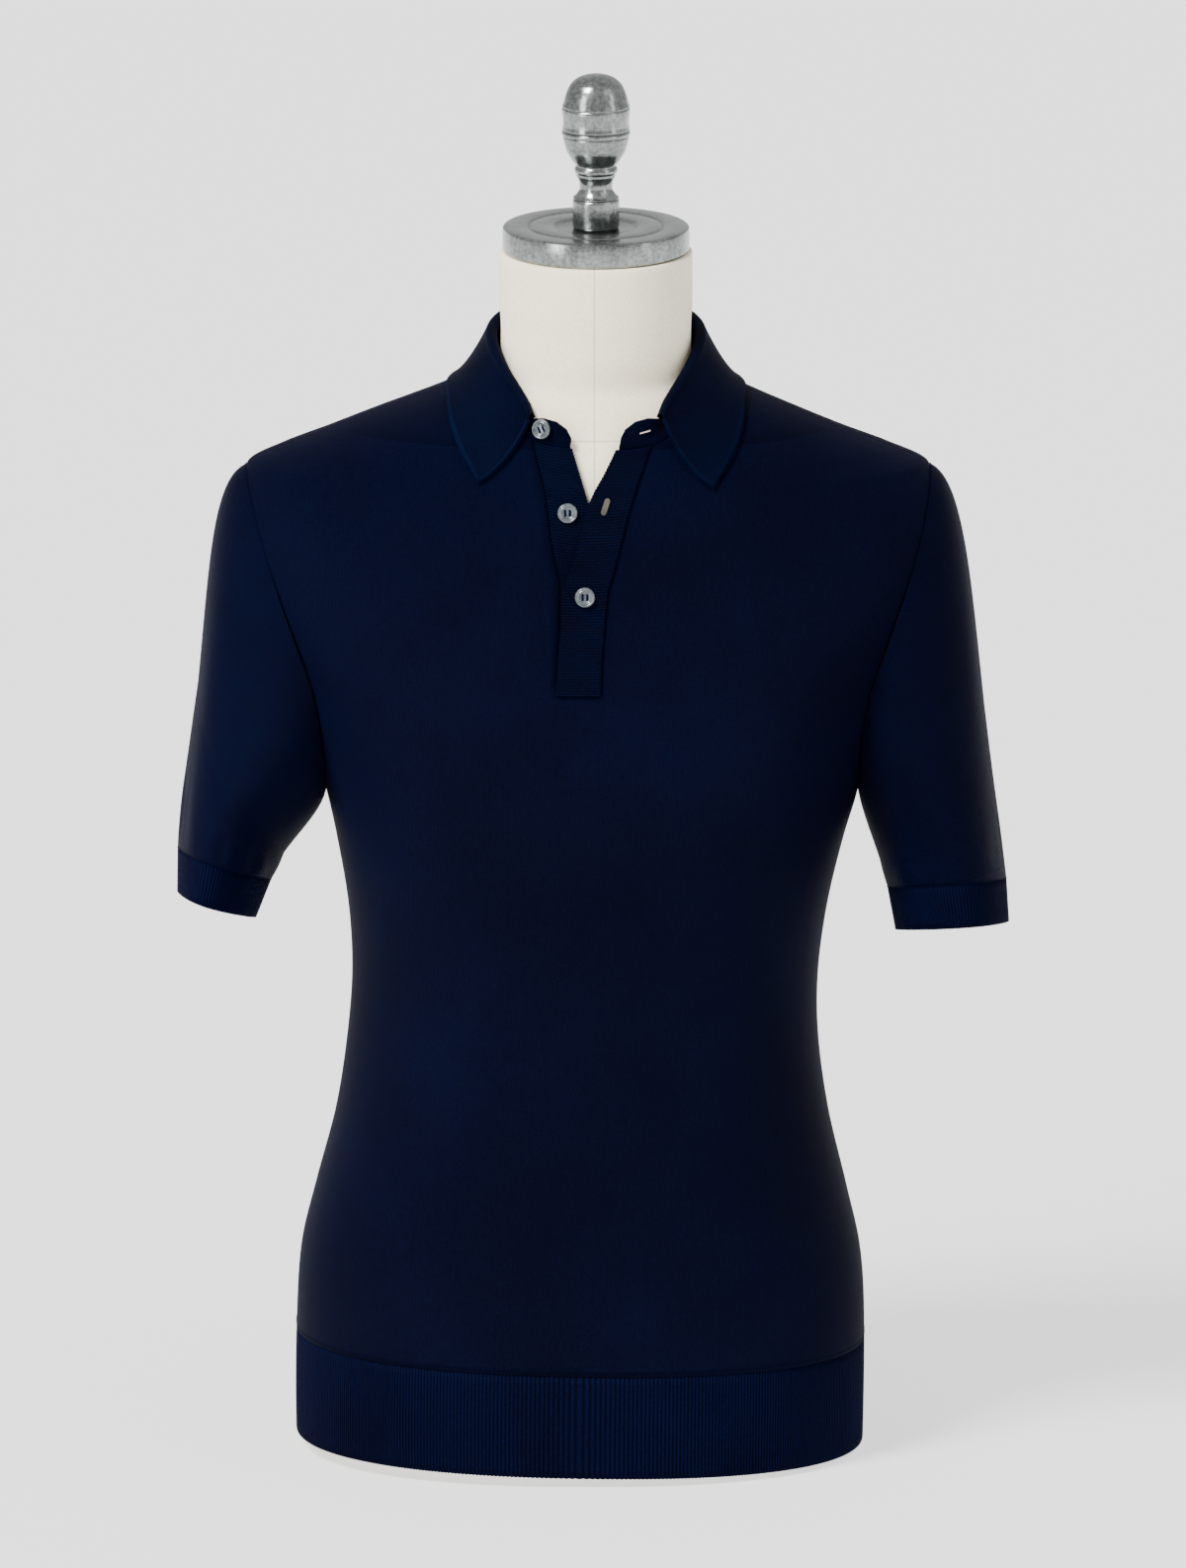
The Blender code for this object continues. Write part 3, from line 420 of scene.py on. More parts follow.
def pewterMaterial():
    look = pewterLook
    material, tree, shader = startMaterial("pewter", {"Metallic": 1.0})
    tone, place = addTone(tree, look)
    axes = splitAxes(tree, place)
    squares = [mathNode(tree, "MULTIPLY", axes[k], axes[k]) for k in (0, 1)]
    radius = mathNode(tree, "SQRT", mathNode(tree, "ADD", *squares))
    lathe = addNode(tree, "ShaderNodeTexNoise", {"Scale": look["lathe"], "Detail": 3.0,
                                                 "W": mathNode(tree, "ADD", radius, axes[2])}, noise_dimensions="1D")
    rough = addNode(tree, "ShaderNodeMapRange", {"To Min": look["smooth"], "To Max": look["rough"],
                                                 "Value": tone["Speck"]})
    setInputs(tree, shader, {"Base Color": tone["Color"], "Roughness": rough.outputs[0]})
    addRelief(tree, shader, mathNode(tree, "ADD", lathe.outputs[0], tone["Speck"]), look["relief"],
              look["reliefDepth"])
    return material


pearlLook = {"dark": (0.02, 0.028, 0.034), "light": (0.085, 0.1, 0.108), "patch": 260.0, "speck": 900.0,
             "roughness": 0.22, "coat": 0.5, "coatRoughness": 0.12}


def pearlMaterial():
    look = pearlLook
    material, tree, shader = startMaterial("pearlButton", {
        "Roughness": look["roughness"], "Coat Weight": look["coat"], "Coat Roughness": look["coatRoughness"]})
    tree.links.new(addTone(tree, look)[0]["Color"], shader.inputs["Base Color"])
    return material


canvas = canvasMaterial()
pewter = pewterMaterial()
pearl = pearlMaterial()
print("materials ready")


# meshes

shown = bpy.context.scene.collection


def showThing(name, data):
    thing = bpy.data.objects.new(name, data)
    shown.objects.link(thing)
    return thing


def makeObject(name, points, faces, material, corners=None, sharp=50.0):
    mesh = bpy.data.meshes.new(name)
    mesh.from_pydata([p * mm for p in points], [], faces)
    if corners is not None:  # one place on the flat cloth for each face corner, in metres
        layer = mesh.uv_layers.new(name="weave")
        layer.data.foreach_set("uv", [v for corner in corners for v in corner])
    mesh.materials.append(material)
    mesh.shade_smooth()
    mesh.set_sharp_from_angle(angle=math.radians(sharp))
    return showThing(name, mesh)


def makePlain(thing):  # modifiers become a plain mesh
    graph = bpy.context.evaluated_depsgraph_get()
    mesh = bpy.data.meshes.new_from_object(thing.evaluated_get(graph), depsgraph=graph)
    thing.modifiers.clear()
    old = thing.data
    thing.data = mesh
    bpy.data.meshes.remove(old)
    mesh.name = thing.name
    return thing


def cutAway(thing, cutter):
    cut = thing.modifiers.new("hole", "BOOLEAN")
    cut.operation, cut.solver, cut.object = "DIFFERENCE", "EXACT", cutter
    makePlain(thing)
    bpy.data.objects.remove(cutter, do_unlink=True)


def measureRow(row, closed):  # distance along a row of points, from its middle
    run = [0.0]
    for a, b in zip(row, row[1:] + (row[:1] if closed else [])):
        run.append(run[-1] + (b - a).length)
    return [d - run[-1] / 2.0 for d in run]


def clothSheet(name, grid, material, closed=False, skip=(), wall=1.5, upright=True, sharp=50.0):
    rows, columns = len(grid), len(grid[0])
    across = [measureRow(row, closed) for row in grid]
    middle = columns // 2
    up = measureRow([row[middle] for row in grid], False)
    points = [p for row in grid for p in row]
    faces, corners = [], []
    for j in range(rows - 1):
        for i in range(columns if closed else columns - 1):
            if (j, i) in skip:
                continue
            k = (i + 1) % columns
            faces.append((j * columns + i, j * columns + k, (j + 1) * columns + k, (j + 1) * columns + i))
            for a, b in ((j, i), (j, i + 1), (j + 1, i + 1), (j + 1, i)):
                flat = (across[a][b] * mm, up[a] * mm)
                corners.append(flat if upright else (flat[1], flat[0]))
    thing = makeObject(name, points, faces, material, corners, sharp)
    clean = bmesh.new()
    clean.from_mesh(thing.data)
    bmesh.ops.delete(clean, geom=[v for v in clean.verts if not v.link_faces], context="VERTS")
    clean.to_mesh(thing.data)
    clean.free()
    if wall:
        thicken(thing, wall)
    return thing


def thicken(thing, wall):
    solidify = thing.modifiers.new("thickness", "SOLIDIFY")
    solidify.thickness = wall * mm
    solidify.offset = -1.0
    solidify.use_even_offset = True
    return thing


# node trees for what repeats

def newTree(name, values):
    tree = bpy.data.node_groups.new(name, "GeometryNodeTree")
    for way in ("INPUT", "OUTPUT"):
        tree.interface.new_socket(name="Geometry", in_out=way, socket_type="NodeSocketGeometry")
    for label, value in values:
        socket = tree.interface.new_socket(name=label, in_out="INPUT", socket_type="NodeSocketFloat")
        socket.default_value = value
    tree.interface.new_socket(name="Finish", in_out="INPUT", socket_type="NodeSocketMaterial")
    return tree, tree.nodes.new("NodeGroupInput").outputs


def endTree(tree, given, geometry):
    real = addNode(tree, "GeometryNodeRealizeInstances", {0: geometry})
    finish = addNode(tree, "GeometryNodeSetMaterial", {"Geometry": real.outputs[0], "Material": given["Finish"]})
    addNode(tree, "NodeGroupOutput", {0: finish.outputs[0]})
    return tree


def buildRibTree():
    tree, given = newTree("knitRibs", (("Pitch", 0.0021), ("Height", 0.0006)))
    run, inner = (addNode(tree, "GeometryNodeInputNamedAttribute", {"Name": name}, data_type="FLOAT")
                  .outputs["Attribute"] for name in ("ribRun", "inner"))
    turns = mathNode(tree, "MULTIPLY", mathNode(tree, "DIVIDE", run, given["Pitch"]), math.pi)
    wave = mathNode(tree, "POWER", mathNode(tree, "ABSOLUTE", mathNode(tree, "SINE", turns)), 0.7)
    depth = mathNode(tree, "MULTIPLY", mathNode(tree, "SUBTRACT", wave, 1.0), given["Height"])
    depth = mathNode(tree, "MULTIPLY", depth, mathNode(tree, "SUBTRACT", 1.0, inner))
    offset = scaleColor(tree, tree.nodes.new("GeometryNodeInputNormal").outputs[0], depth)
    push = addNode(tree, "GeometryNodeSetPosition", {"Geometry": given["Geometry"], "Offset": offset})
    return endTree(tree, given, push.outputs[0])


def buildStitchTree():
    tree, given = newTree("stitchRow", (("Pitch", 0.0021), ("Length", 0.0016), ("Thickness", 0.0004), ("Lean", 0.0)))
    line = addNode(tree, "GeometryNodeMeshToCurve", {"Mesh": given["Geometry"]})
    spaced = addNode(tree, "GeometryNodeResampleCurve", {"Curve": line.outputs[0], "Length": given["Pitch"]},
                     mode="LENGTH")
    thread = addNode(tree, "GeometryNodeMeshIcoSphere", {"Subdivisions": 1, "Radius": 0.5})
    tangent = tree.nodes.new("GeometryNodeInputTangent").outputs[0]
    align = addNode(tree, "FunctionNodeAlignRotationToVector", {"Vector": tangent}, axis="X")
    lean = addNode(tree, "ShaderNodeCombineXYZ", {2: given["Lean"]})
    turn = addNode(tree, "FunctionNodeRotateRotation",
                   {"Rotation": align.outputs[0], "Rotate By": lean.outputs[0]}, rotation_space="LOCAL")
    size = addNode(tree, "ShaderNodeCombineXYZ", {0: given["Length"], 1: given["Thickness"], 2: given["Thickness"]})
    spread = addNode(tree, "GeometryNodeInstanceOnPoints", {
        "Points": spaced.outputs[0], "Instance": thread.outputs[0], "Rotation": turn.outputs[0],
        "Scale": size.outputs[0]})
    return endTree(tree, given, spread.outputs[0])


ribTree = buildRibTree()
stitchTree = buildStitchTree()


def addTree(thing, tree, finish, **values):
    modifier = thing.modifiers.new(tree.name, "NODES")
    modifier.node_group = tree
    for item in tree.interface.items_tree:
        if item.in_out == "INPUT" and item.name in values:
            modifier[item.identifier] = values[item.name]
        if item.in_out == "INPUT" and item.name == "Finish":
            modifier[item.identifier] = finish
    return thing


def addRibs(thing, run, pitch, height, finish, wall):  # run in mm for each point
    thing.data.attributes.new("ribRun", "FLOAT", "POINT").data.foreach_set("value", [v * mm for v in run])
    thing.vertex_groups.new(name="inner")
    thicken(thing, wall).modifiers["thickness"].shell_vertex_group = "inner"
    addTree(thing, ribTree, finish, Pitch=pitch * mm, Height=height * mm)
    return makePlain(thing)


def stitchLine(name, points, finish, pitch=2.1, length=1.6, thickness=0.4, lean=0.0, closed=False):
    mesh = bpy.data.meshes.new(name)
    edges = [(i, i + 1) for i in range(len(points) - 1)] + ([(len(points) - 1, 0)] if closed else [])
    mesh.from_pydata([p * mm for p in points], edges, [])
    thing = showThing(name, mesh)
    addTree(thing, stitchTree, finish, Pitch=pitch * mm, Length=length * mm, Thickness=thickness * mm, Lean=lean)
    makePlain(thing)
    thing.data.shade_smooth()
    return thing


# front and back panels with their soft folds

panels = {
    "columnsEach": 44, "bodyRows": 64, "armholeRows": 40, "shoulderRows": 34,
    "hemTop": 74.3, "slitBottom": 524.5, "placketLap": 5.0, "calmFrom": 0.9,
    # height, front edge at the left, over placket's right edge, its left edge
    "slit": [(520, -24.7, 2.5, -24.7), (545, -24.2, 3.4, -23.6), (566, -23.0, 5.2, -22.0), (587, -23.0, 7.6, -20.9),
             (600, -25.5, 11.4, -15.8), (614, -28.5, 15.2, -11.4), (631, -30.6, 19.6, -7.0),
             (645, -32.6, 24.0, -2.6), (660, -36.8, 29.2, 5.8), (676, -40.6, 35.2, 13.8)],
    # from x, z, to x, z, width, height (less than 0 is a trough)
    "frontFolds": [(-96, 250, -60, 330, 16, 1.2), (-70, 232, -32, 300, 13, -1.0), (88, 240, 58, 322, 15, 1.1),
                   (62, 226, 26, 292, 13, -0.9), (-140, 330, -128, 415, 12, 1.0), (136, 330, 124, 415, 12, 0.9),
                   (-120, 470, -150, 560, 14, 1.0), (116, 470, 146, 560, 14, 1.0), (-24, 150, -30, 260, 20, 0.8),
                   (40, 120, 34, 220, 18, -0.7), (-96, 110, -104, 200, 18, 0.8), (104, 100, 108, 190, 16, 0.7),
                   (-168, 610, -186, 560, 9, 1.0), (166, 612, 184, 560, 9, 1.0), (-60, 560, -40, 500, 16, 0.7),
                   (44, 556, 28, 500, 16, 0.6)],
    "backFolds": [(-90, 240, -52, 320, 16, 1.2), (-64, 230, -26, 300, 13, -1.0), (92, 244, 60, 318, 15, 1.1),
                  (60, 226, 24, 296, 13, -0.9), (-136, 330, -120, 415, 12, 1.0), (138, 328, 122, 410, 12, 1.0),
                  (-122, 480, -150, 570, 14, 1.0), (120, 476, 148, 566, 14, 1.0), (-20, 150, -26, 260, 20, 0.8),
                  (36, 120, 30, 224, 18, -0.7), (-96, 640, -60, 600, 14, 0.7), (96, 640, 60, 600, 14, 0.7)],
}


def foldOffset(folds, x, z):
    total = 0.0
    for startX, startZ, endX, endZ, width, height in folds:
        alongX, alongZ = endX - startX, endZ - startZ
        longSquare = alongX * alongX + alongZ * alongZ
        share = ((x - startX) * alongX + (z - startZ) * alongZ) / longSquare
        if share < -0.4 or share > 1.4:
            continue
        away = abs((x - startX) * alongZ - (z - startZ) * alongX) / math.sqrt(longSquare)
        if away > 3.0 * width:
            continue
        ends = math.exp(-(max(0.0, abs(share - 0.5) - 0.2) / 0.32) ** 2)
        total += height * ends * bump(away, width)
    return total


def panelHeights():
    body = [blend(panels["hemTop"], torso["armpit"], k / panels["bodyRows"]) for k in range(panels["bodyRows"] + 1)]
    count = panels["armholeRows"]
    armhole = [armholeHeight(0.5 - k / (2.0 * count)) for k in range(1, count + 1)]
    top, steps = torso["neckPoint"], panels["shoulderRows"]
    return body + armhole + [blend(torso["shoulder"], top, k / steps) for k in range(1, steps + 1)]


def slitEdges(z):
    return smoothValue(panels["slit"], 1, z), smoothValue(panels["slit"], 2, z) - panels["placketLap"]


def neckLimit(z, side):
    start = torsoPoint(z, 0.0, -1)
    if not inNeckline(start.x, start.y):
        return 0.0
    low, high = 0.0, 1.0
    for _ in range(torso["searchSteps"]):
        middle = (low + high) / 2.0
        point = torsoPoint(z, side * middle, -1)
        low, high = (middle, high) if inNeckline(point.x, point.y) else (low, middle)
    return low


def clothPoint(z, u, face, folds, calm=1.0):
    point = torsoPoint(z, u, face)
    lift = foldOffset(folds, point.x, z) * calm
    if abs(lift) > 0.01:
        point = point + torsoNormal(z, u, face) * lift
    point.z += hemTilt(point.x, z)
    return point


def sideCalm(u, limit):  # 1 over the panel, down to 0 at its side
    return 1.0 - max(0.0, abs(u) / limit - panels["calmFrom"]) / (1.0 - panels["calmFrom"])


def shirtFront():
    each = panels["columnsEach"]
    heights = panelHeights()
    slitRow = min(range(len(heights)), key=lambda j: abs(heights[j] - panels["slitBottom"]))
    heights[slitRow] = panels["slitBottom"]
    grid = []
    for z in heights:
        left, right = slitEdges(z)
        limit = sideLimit(z, -1)
        uLeft, uRight = min(uAt(left, z, -1), -neckLimit(z, -1.0)), max(uAt(right, z, -1), neckLimit(z, 1.0))
        shares = [k / (each - 1.0) for k in range(each)]
        rowU = [blend(-limit, uLeft, s) for s in shares] + [blend(uRight, limit, s) for s in shares]
        calm = [math.sin(math.pi * s) ** 0.25 if 0 < s < 1 else 0.0 for s in shares] * 2
        if z < panels["slitBottom"]:
            calm = [sideCalm(u, limit) for u in rowU]
        grid.append([clothPoint(z, u, -1, panels["frontFolds"], c) for u, c in zip(rowU, calm)])
    skip = {(j, each - 1) for j in range(slitRow, len(heights) - 1)}
    return makePlain(clothSheet("shirtFront", grid, jersey, skip=skip))


def shirtBack():
    columns = 2 * panels["columnsEach"]
    grid = []
    for z in panelHeights():
        limit = sideLimit(z, 1)
        rowU = [blend(limit, -limit, k / (columns - 1.0)) for k in range(columns)]
        grid.append([clothPoint(z, u, 1, panels["backFolds"], sideCalm(u, limit)) for u in rowU])
    return makePlain(clothSheet("shirtBack", grid, jersey))


front, back = shirtFront(), shirtBack()
print("panels made")


# ribbed hem

hemLook = {"bottom": 6.0, "top": 74.0, "pitch": 2.1, "height": 0.6, "perRib": 6, "rows": 12, "wall": 1.4}


def hemBand(name, face):
    count = 200
    low = [torsoPoint(40.0, k / count * 2.0 - 1.0, face) for k in range(count + 1)]
    long = sum((b - a).length for a, b in zip(low, low[1:]))
    ribs = round(long / hemLook["pitch"])
    columns = ribs * hemLook["perRib"] + 1
    grid, run = [], []
    for j in range(hemLook["rows"] + 1):
        share = j / hemLook["rows"]
        z = blend(hemLook["bottom"], hemLook["top"], share)
        limit = sideLimit(z, face)
        row = []
        for i in range(columns):
            u = blend(limit, -limit, i / (columns - 1.0)) * face
            point = torsoPoint(z, u, face)
            point.z = z + hemTilt(point.x, 0.0)
            row.append(point)
            run.append(hemLook["pitch"] * ribs * i / (columns - 1.0))
        grid.append(row)
    thing = clothSheet(name, grid, ribKnit, wall=0.0)
    return addRibs(thing, run, hemLook["pitch"], hemLook["height"], ribKnit, hemLook["wall"]), grid


hemFront, hemFrontGrid = hemBand("hemFront", -1)
hemBack, hemBackGrid = hemBand("hemBack", 1)
print("hem made")


# sleeves and cuffs

sleeves = {
    "lower": {"left": (-243.0, 25.3, -12.0, 67.0, 367.0, 349.5), "right": (228.3, 36.5, -12.0, 63.0, 347.0, 341.5)},
    "upper": {"left": (-237.9, 30.0, -9.0, 67.0, 395.0, 374.0), "right": (224.8, 38.2, -9.0, 63.5, 375.0, 369.0)},
    "side": {"left": -1.0, "right": 1.0}, "puff": {"left": 1.6, "right": 0.5},
    "gather": {"left": 1.1, "right": 0.5}, "puffFrom": 0.72,
    # how the cloth leaves the armhole and arrives at the cuff, on top, at the flanks and underneath
    "leave": ((30, 0, -12), (15, 8, -42), (3, 0, -20)), "arrive": ((-23, 0, 145), (-8, 2, 62), (-4, 0, 20)),
    "power": 1.85, "tilt": 0.22, "creaseShift": 7.0, "creaseRaise": 3.2, "rows": 60, "columns": 80,
    "ribPitch": 2.1, "ribHeight": 0.6, "perRib": 6, "cuffRows": 6, "cuffWall": 1.4,
}


def cuffPoint(rim, side, turn):
    middleX, halfWidth, middleY, halfDepth, outerZ, innerZ = rim
    angle = 2.0 * math.pi * turn
    across = signedPower(math.cos(angle), 2.0 / sleeves["power"])
    along = signedPower(math.sin(angle), 2.0 / sleeves["power"])
    x = middleX + side * (halfWidth * across + sleeves["creaseShift"] * along * along)
    y = middleY - halfDepth * along
    return Vector((x, y, blend(innerZ, outerZ, (1.0 + across) / 2.0) + sleeves["tilt"] * (middleY - y)))


def armholePoint(side, turn):
    z = armholeHeight(turn)
    sine = math.sin(2.0 * math.pi * turn)
    y = -sine * (torso["armholeFront"] if sine > 0 else torso["armholeBack"])
    x = smoothValue(torso["rows"], 1, z) + side * smoothValue(torso["armhole"], 1, z)
    return Vector((x, y, z))


def sleevePoint(name, turn, t):
    side, upper = sleeves["side"][name], sleeves["upper"][name]
    start = armholePoint(side, turn)
    end = cuffPoint(upper, side, turn)
    angle = 2.0 * math.pi * turn
    top, under = max(0.0, math.cos(angle)) ** 2, max(0.0, -math.cos(angle)) ** 2
    flank = math.sin(angle) ** 2
    fore = -math.copysign(1.0, math.sin(angle))
    leave, arrive = (sum((Vector((side * x, fore * y, z)) * share
                          for (x, y, z), share in zip(sleeves[way], (top, flank, under))), Vector())
                     for way in ("leave", "arrive"))
    point = bezier(start, start + leave, end + arrive, end, t)
    swell = max(0.0, math.sin(math.pi * max(0.0, t - sleeves["puffFrom"]) / (1.0 - sleeves["puffFrom"])))
    outward = Vector((point.x - blend(start.x, upper[0], t), point.y * 0.6, 0.0))
    if outward.length > 1.0:
        outward.normalize()
        point += outward * sleeves["puff"][name] * swell
        wave = math.sin(angle * 11.0 + 2.0 * math.sin(angle * 3.0)) * math.sin(angle * 4.0 + 1.0)
        gather = bump(t - 0.93, 0.07) * min(1.0, (1.0 - t) / 0.02)
        point += outward * sleeves["gather"][name] * wave * gather
    crease = max(0.0, math.sin(angle)) ** 12 * math.sin(math.pi * min(1.0, 0.15 + 0.85 * t) ** 0.7)
    point.y -= sleeves["creaseRaise"] * crease
    for centre, spread, tMiddle, tSpread, height in sleeveFolds[name]:
        away = (turn - centre + 0.5) % 1.0 - 0.5
        lift = height * bump(away, spread) * bump(t - tMiddle, tSpread) * min(1.0, t / 0.04)
        point += outward * lift
    return point


sleeveFolds = {  # turn, its spread, share of the length, its spread, height
    "left": [(0.30, 0.035, 0.45, 0.25, 1.3), (0.38, 0.03, 0.35, 0.2, -0.9), (0.12, 0.04, 0.6, 0.25, 0.9),
             (0.70, 0.035, 0.45, 0.25, 1.2), (0.88, 0.04, 0.6, 0.25, 0.9)],
    "right": [(0.32, 0.035, 0.45, 0.25, 1.2), (0.40, 0.03, 0.35, 0.2, -0.9), (0.10, 0.04, 0.55, 0.25, 0.9),
              (0.70, 0.035, 0.45, 0.25, 1.2), (0.90, 0.04, 0.6, 0.25, 0.9)],
}


def makeSleeve(name):
    columns, rows = sleeves["columns"], []
    for j in range(sleeves["rows"] + 1):
        t = (j / sleeves["rows"]) ** 1.15
        row = [sleevePoint(name, k / columns, t) for k in range(columns)]
        if name == "left":
            row.reverse()
        rows.append(row)
    piece = clothSheet("sleeve" + name.title(), rows, jersey, closed=True)
    return makePlain(piece), rows


def makeCuff(name):
    side, lower, upper = sleeves["side"][name], sleeves["lower"][name], sleeves["upper"][name]
    ring = [cuffPoint(lower, side, k / 200.0) for k in range(201)]
    start, *rest = measureRow(ring, False)
    long = [0.0] + [d - start for d in rest]
    ribs = round(long[-1] / sleeves["ribPitch"])
    columns = ribs * sleeves["perRib"]

    def turnAt(share):  # even steps along the rim
        goal = share * long[-1]
        k = max(0, min(199, next((i for i in range(200) if long[i + 1] >= goal), 199)))
        return (k + (goal - long[k]) / max(1e-6, long[k + 1] - long[k])) / 200.0

    turns = [turnAt(i / columns) for i in range(columns)]
    grid, run = [], []
    for j in range(sleeves["cuffRows"] + 1):
        share = j / sleeves["cuffRows"]
        row = []
        for i in range(columns):
            turn = -side * turns[i]
            row.append(cuffPoint(lower, side, turn).lerp(cuffPoint(upper, side, turn), share))
            run.append(sleeves["ribPitch"] * ribs * i / columns)
        grid.append(row)
    thing = clothSheet("cuff" + name.title(), grid, ribKnit, closed=True, wall=0.0)
    return addRibs(thing, run, sleeves["ribPitch"], sleeves["ribHeight"], ribKnit, sleeves["cuffWall"])


sleeveLeft, sleeveLeftGrid = makeSleeve("left")
sleeveRight, sleeveRightGrid = makeSleeve("right")
cuffLeft, cuffRight = makeCuff("left"), makeCuff("right")
print("sleeves made")


# collar, band and plackets

collarLook = {
    "stations": [(31.0, 79.0, 692.0, 42.4, 110.5), (37.5, 73.5, 699.5, 49.5, 110.5), (49.5, 69.3, 709.5, 58.5, 107.5),
                 (70.0, 66.3, 722.5, 73.0, 98.5), (90.0, 65.8, 730.5, 90.0, 94.0), (118.0, 66.2, 736.5, 117.0, 86.5),
                 (150.0, 66.8, 739.5, 150.0, 78.0), (180.0, 67.0, 740.5, 180.0, 75.0)],
    "steps": 9, "rollSteps": 10, "leafSteps": 26, "roll": 2.5, "lift": 2.7, "hang": 6.5, "flare": 3.5,
    "belly": 6.0, "knee": 0.42, "wall": 1.5, "edgeRows": 1,
    "bandTop": [(11.5, 78.6, 678.6), (13.5, 79.2, 684.0), (18.5, 79.6, 688.8), (25.0, 79.6, 690.4)],
    "bandGap": 0.9, "bandHollow": 2.1, "bandRows": 14, "edgePitch": 1.6, "edgeLength": 2.1, "edgeThickness": 1.445,
    "tuckIn": 1.9, "tuckDown": 3.0, "tuckFront": 8.0, "frontFrom": 0.65, "frontOver": 0.15,
    "holeAngle": 24.0, "holeLength": 8.0, "holeWidth": 1.2,
}


def polar(angle, radius, z):
    return Vector((radius * math.sin(math.radians(angle)), -radius * math.cos(math.radians(angle)), z))


def collarRows(steps):
    stations = [(i, *row) for i, row in enumerate(collarLook["stations"])]
    half = [[smoothValue(stations, c, k / steps) for c in range(1, 6)]
            for k in range((len(stations) - 1) * steps + 1)]
    return [(-1.0, row) for row in half] + [(1.0, row) for row in reversed(half[:-1])]


def collarProfile(side, row):
    foldAngle, foldRadius, foldZ, edgeAngle, edgeRadius = row
    points, steps = [], collarLook["rollSteps"]
    for k in range(steps + 1):
        turn = math.pi * (1.0 - k / steps)
        radius = foldRadius - collarLook["wall"] + collarLook["roll"] * (1.0 + math.cos(turn))
        points.append(polar(side * foldAngle, radius, foldZ - collarLook["roll"] * (1.0 - math.sin(turn))))
    rollEnd = points[-1]
    hang = rollEnd + polar(side * foldAngle, collarLook["flare"], 0.0) - Vector((0, 0, collarLook["hang"]))
    share = collarLook["knee"]
    knee = polar(side * blend(foldAngle, edgeAngle, share),
                 blend(foldRadius, edgeRadius, share) + collarLook["belly"], 0.0)
    knee.z = surfaceHeight(knee.x, knee.y) + collarLook["lift"]
    edge = polar(side * edgeAngle, edgeRadius, 0.0)
    edge.z = surfaceHeight(edge.x, edge.y) + collarLook["lift"]
    for k in range(1, collarLook["leafSteps"] + 1):
        points.append(bezier(rollEnd, hang, knee, edge, k / collarLook["leafSteps"]))
    return points


def makeCollar():
    grid = [collarProfile(side, row) for side, row in collarRows(collarLook["steps"])]
    leaf = clothSheet("collarLeaf", grid, collarKnit, wall=collarLook["wall"], upright=False)
    leaf.data.materials.append(edgeYarn)
    columns, last = len(grid[0]) - 1, len(grid) - 1
    for number, face in enumerate(leaf.data.polygons):  # faces run row by row
        row, column = divmod(number, columns)
        atEnd = column > collarLook["rollSteps"] and not collarLook["edgeRows"] / 2 <= row < last - 1
        if column >= columns - collarLook["edgeRows"] or atEnd:
            face.material_index = 1
    edge = [row[-1] for row in grid]
    ends = grid[0][collarLook["rollSteps"]:-1], list(reversed(grid[-1][collarLook["rollSteps"]:-1]))
    line = ends[0] + edge + ends[1]
    middle = Vector((0.0, 0.0, 0.4 * collarLook["wall"]))
    chain = stitchLine("collarEdge", [p - middle for p in line], edgeYarn, collarLook["edgePitch"],
                       collarLook["edgeLength"], collarLook["edgeThickness"])
    return makePlain(leaf), chain


def bandRows(steps):
    half = [list(row) for row in collarLook["bandTop"]]
    fine = []
    for a, b in zip(half, half[1:]):
        fine += [[blend(a[c], b[c], k / 4.0) for c in range(3)] for k in range(4)]
    fine.append(half[-1])
    for side, row in collarRows(steps):
        if side < 0:
            fine.append([row[0], row[1], row[2] - collarLook["roll"] - 0.3])
    return [(-a, r, z) for a, r, z in fine] + [(a, r, z) for a, r, z in reversed(fine[:-1])]


def bandPoint(angle, topRadius, topZ, height):
    x, y = necklinePlan(angle)
    foot = Vector((x, y, min(torso["neckPoint"], surfaceHeight(x, y)) + collarLook["bandGap"]))
    top = polar(angle, topRadius, topZ)
    point = foot.lerp(top, 1.0 - (1.0 - height) ** collarLook["bandHollow"])
    point.z = blend(foot.z, top.z, height)
    return point


slotLook = {"above": 4.0, "below": 6.0, "rimWider": 1.1, "rimOut": 0.15, "rimSteps": 40,
            "stitch": (0.75, 1.3, 0.6)}  # stitch is its pitch, length and thickness


def slotShape(length, width, count=24):  # rounded slot about 0, 0
    flat, endRadius = (length - width) / 2.0, width / 2.0
    angles = [2 * math.pi * (k + 0.5) / count for k in range(count)]
    return [(math.copysign(flat, math.cos(a)) + endRadius * math.cos(a), endRadius * math.sin(a)) for a in angles]


def cutSlot(name, thing, centre, along, normal, length, width):  # buttonhole with a stitched rim
    along = (along - normal * along.dot(normal)).normalized()
    across = normal.cross(along)
    outline = [centre + along * a + across * b for a, b in slotShape(length, width)]
    count = len(outline)
    points = [p + normal * slotLook["above"] for p in outline] + [p - normal * slotLook["below"] for p in outline]
    faces = [tuple(range(count)), tuple(reversed(range(count, 2 * count)))]
    faces += [(k, k + count, (k + 1) % count + count, (k + 1) % count) for k in range(count)]
    cutAway(thing, makeObject(name + "Cutter", points, faces, thing.data.materials[0]))
    wider = slotLook["rimWider"]
    rim = [centre + along * a + across * b + normal * slotLook["rimOut"]
           for a, b in slotShape(length + wider, width + wider, slotLook["rimSteps"])]
    return stitchLine(name, rim, edgeYarn, *slotLook["stitch"], quarterTurn, closed=True)


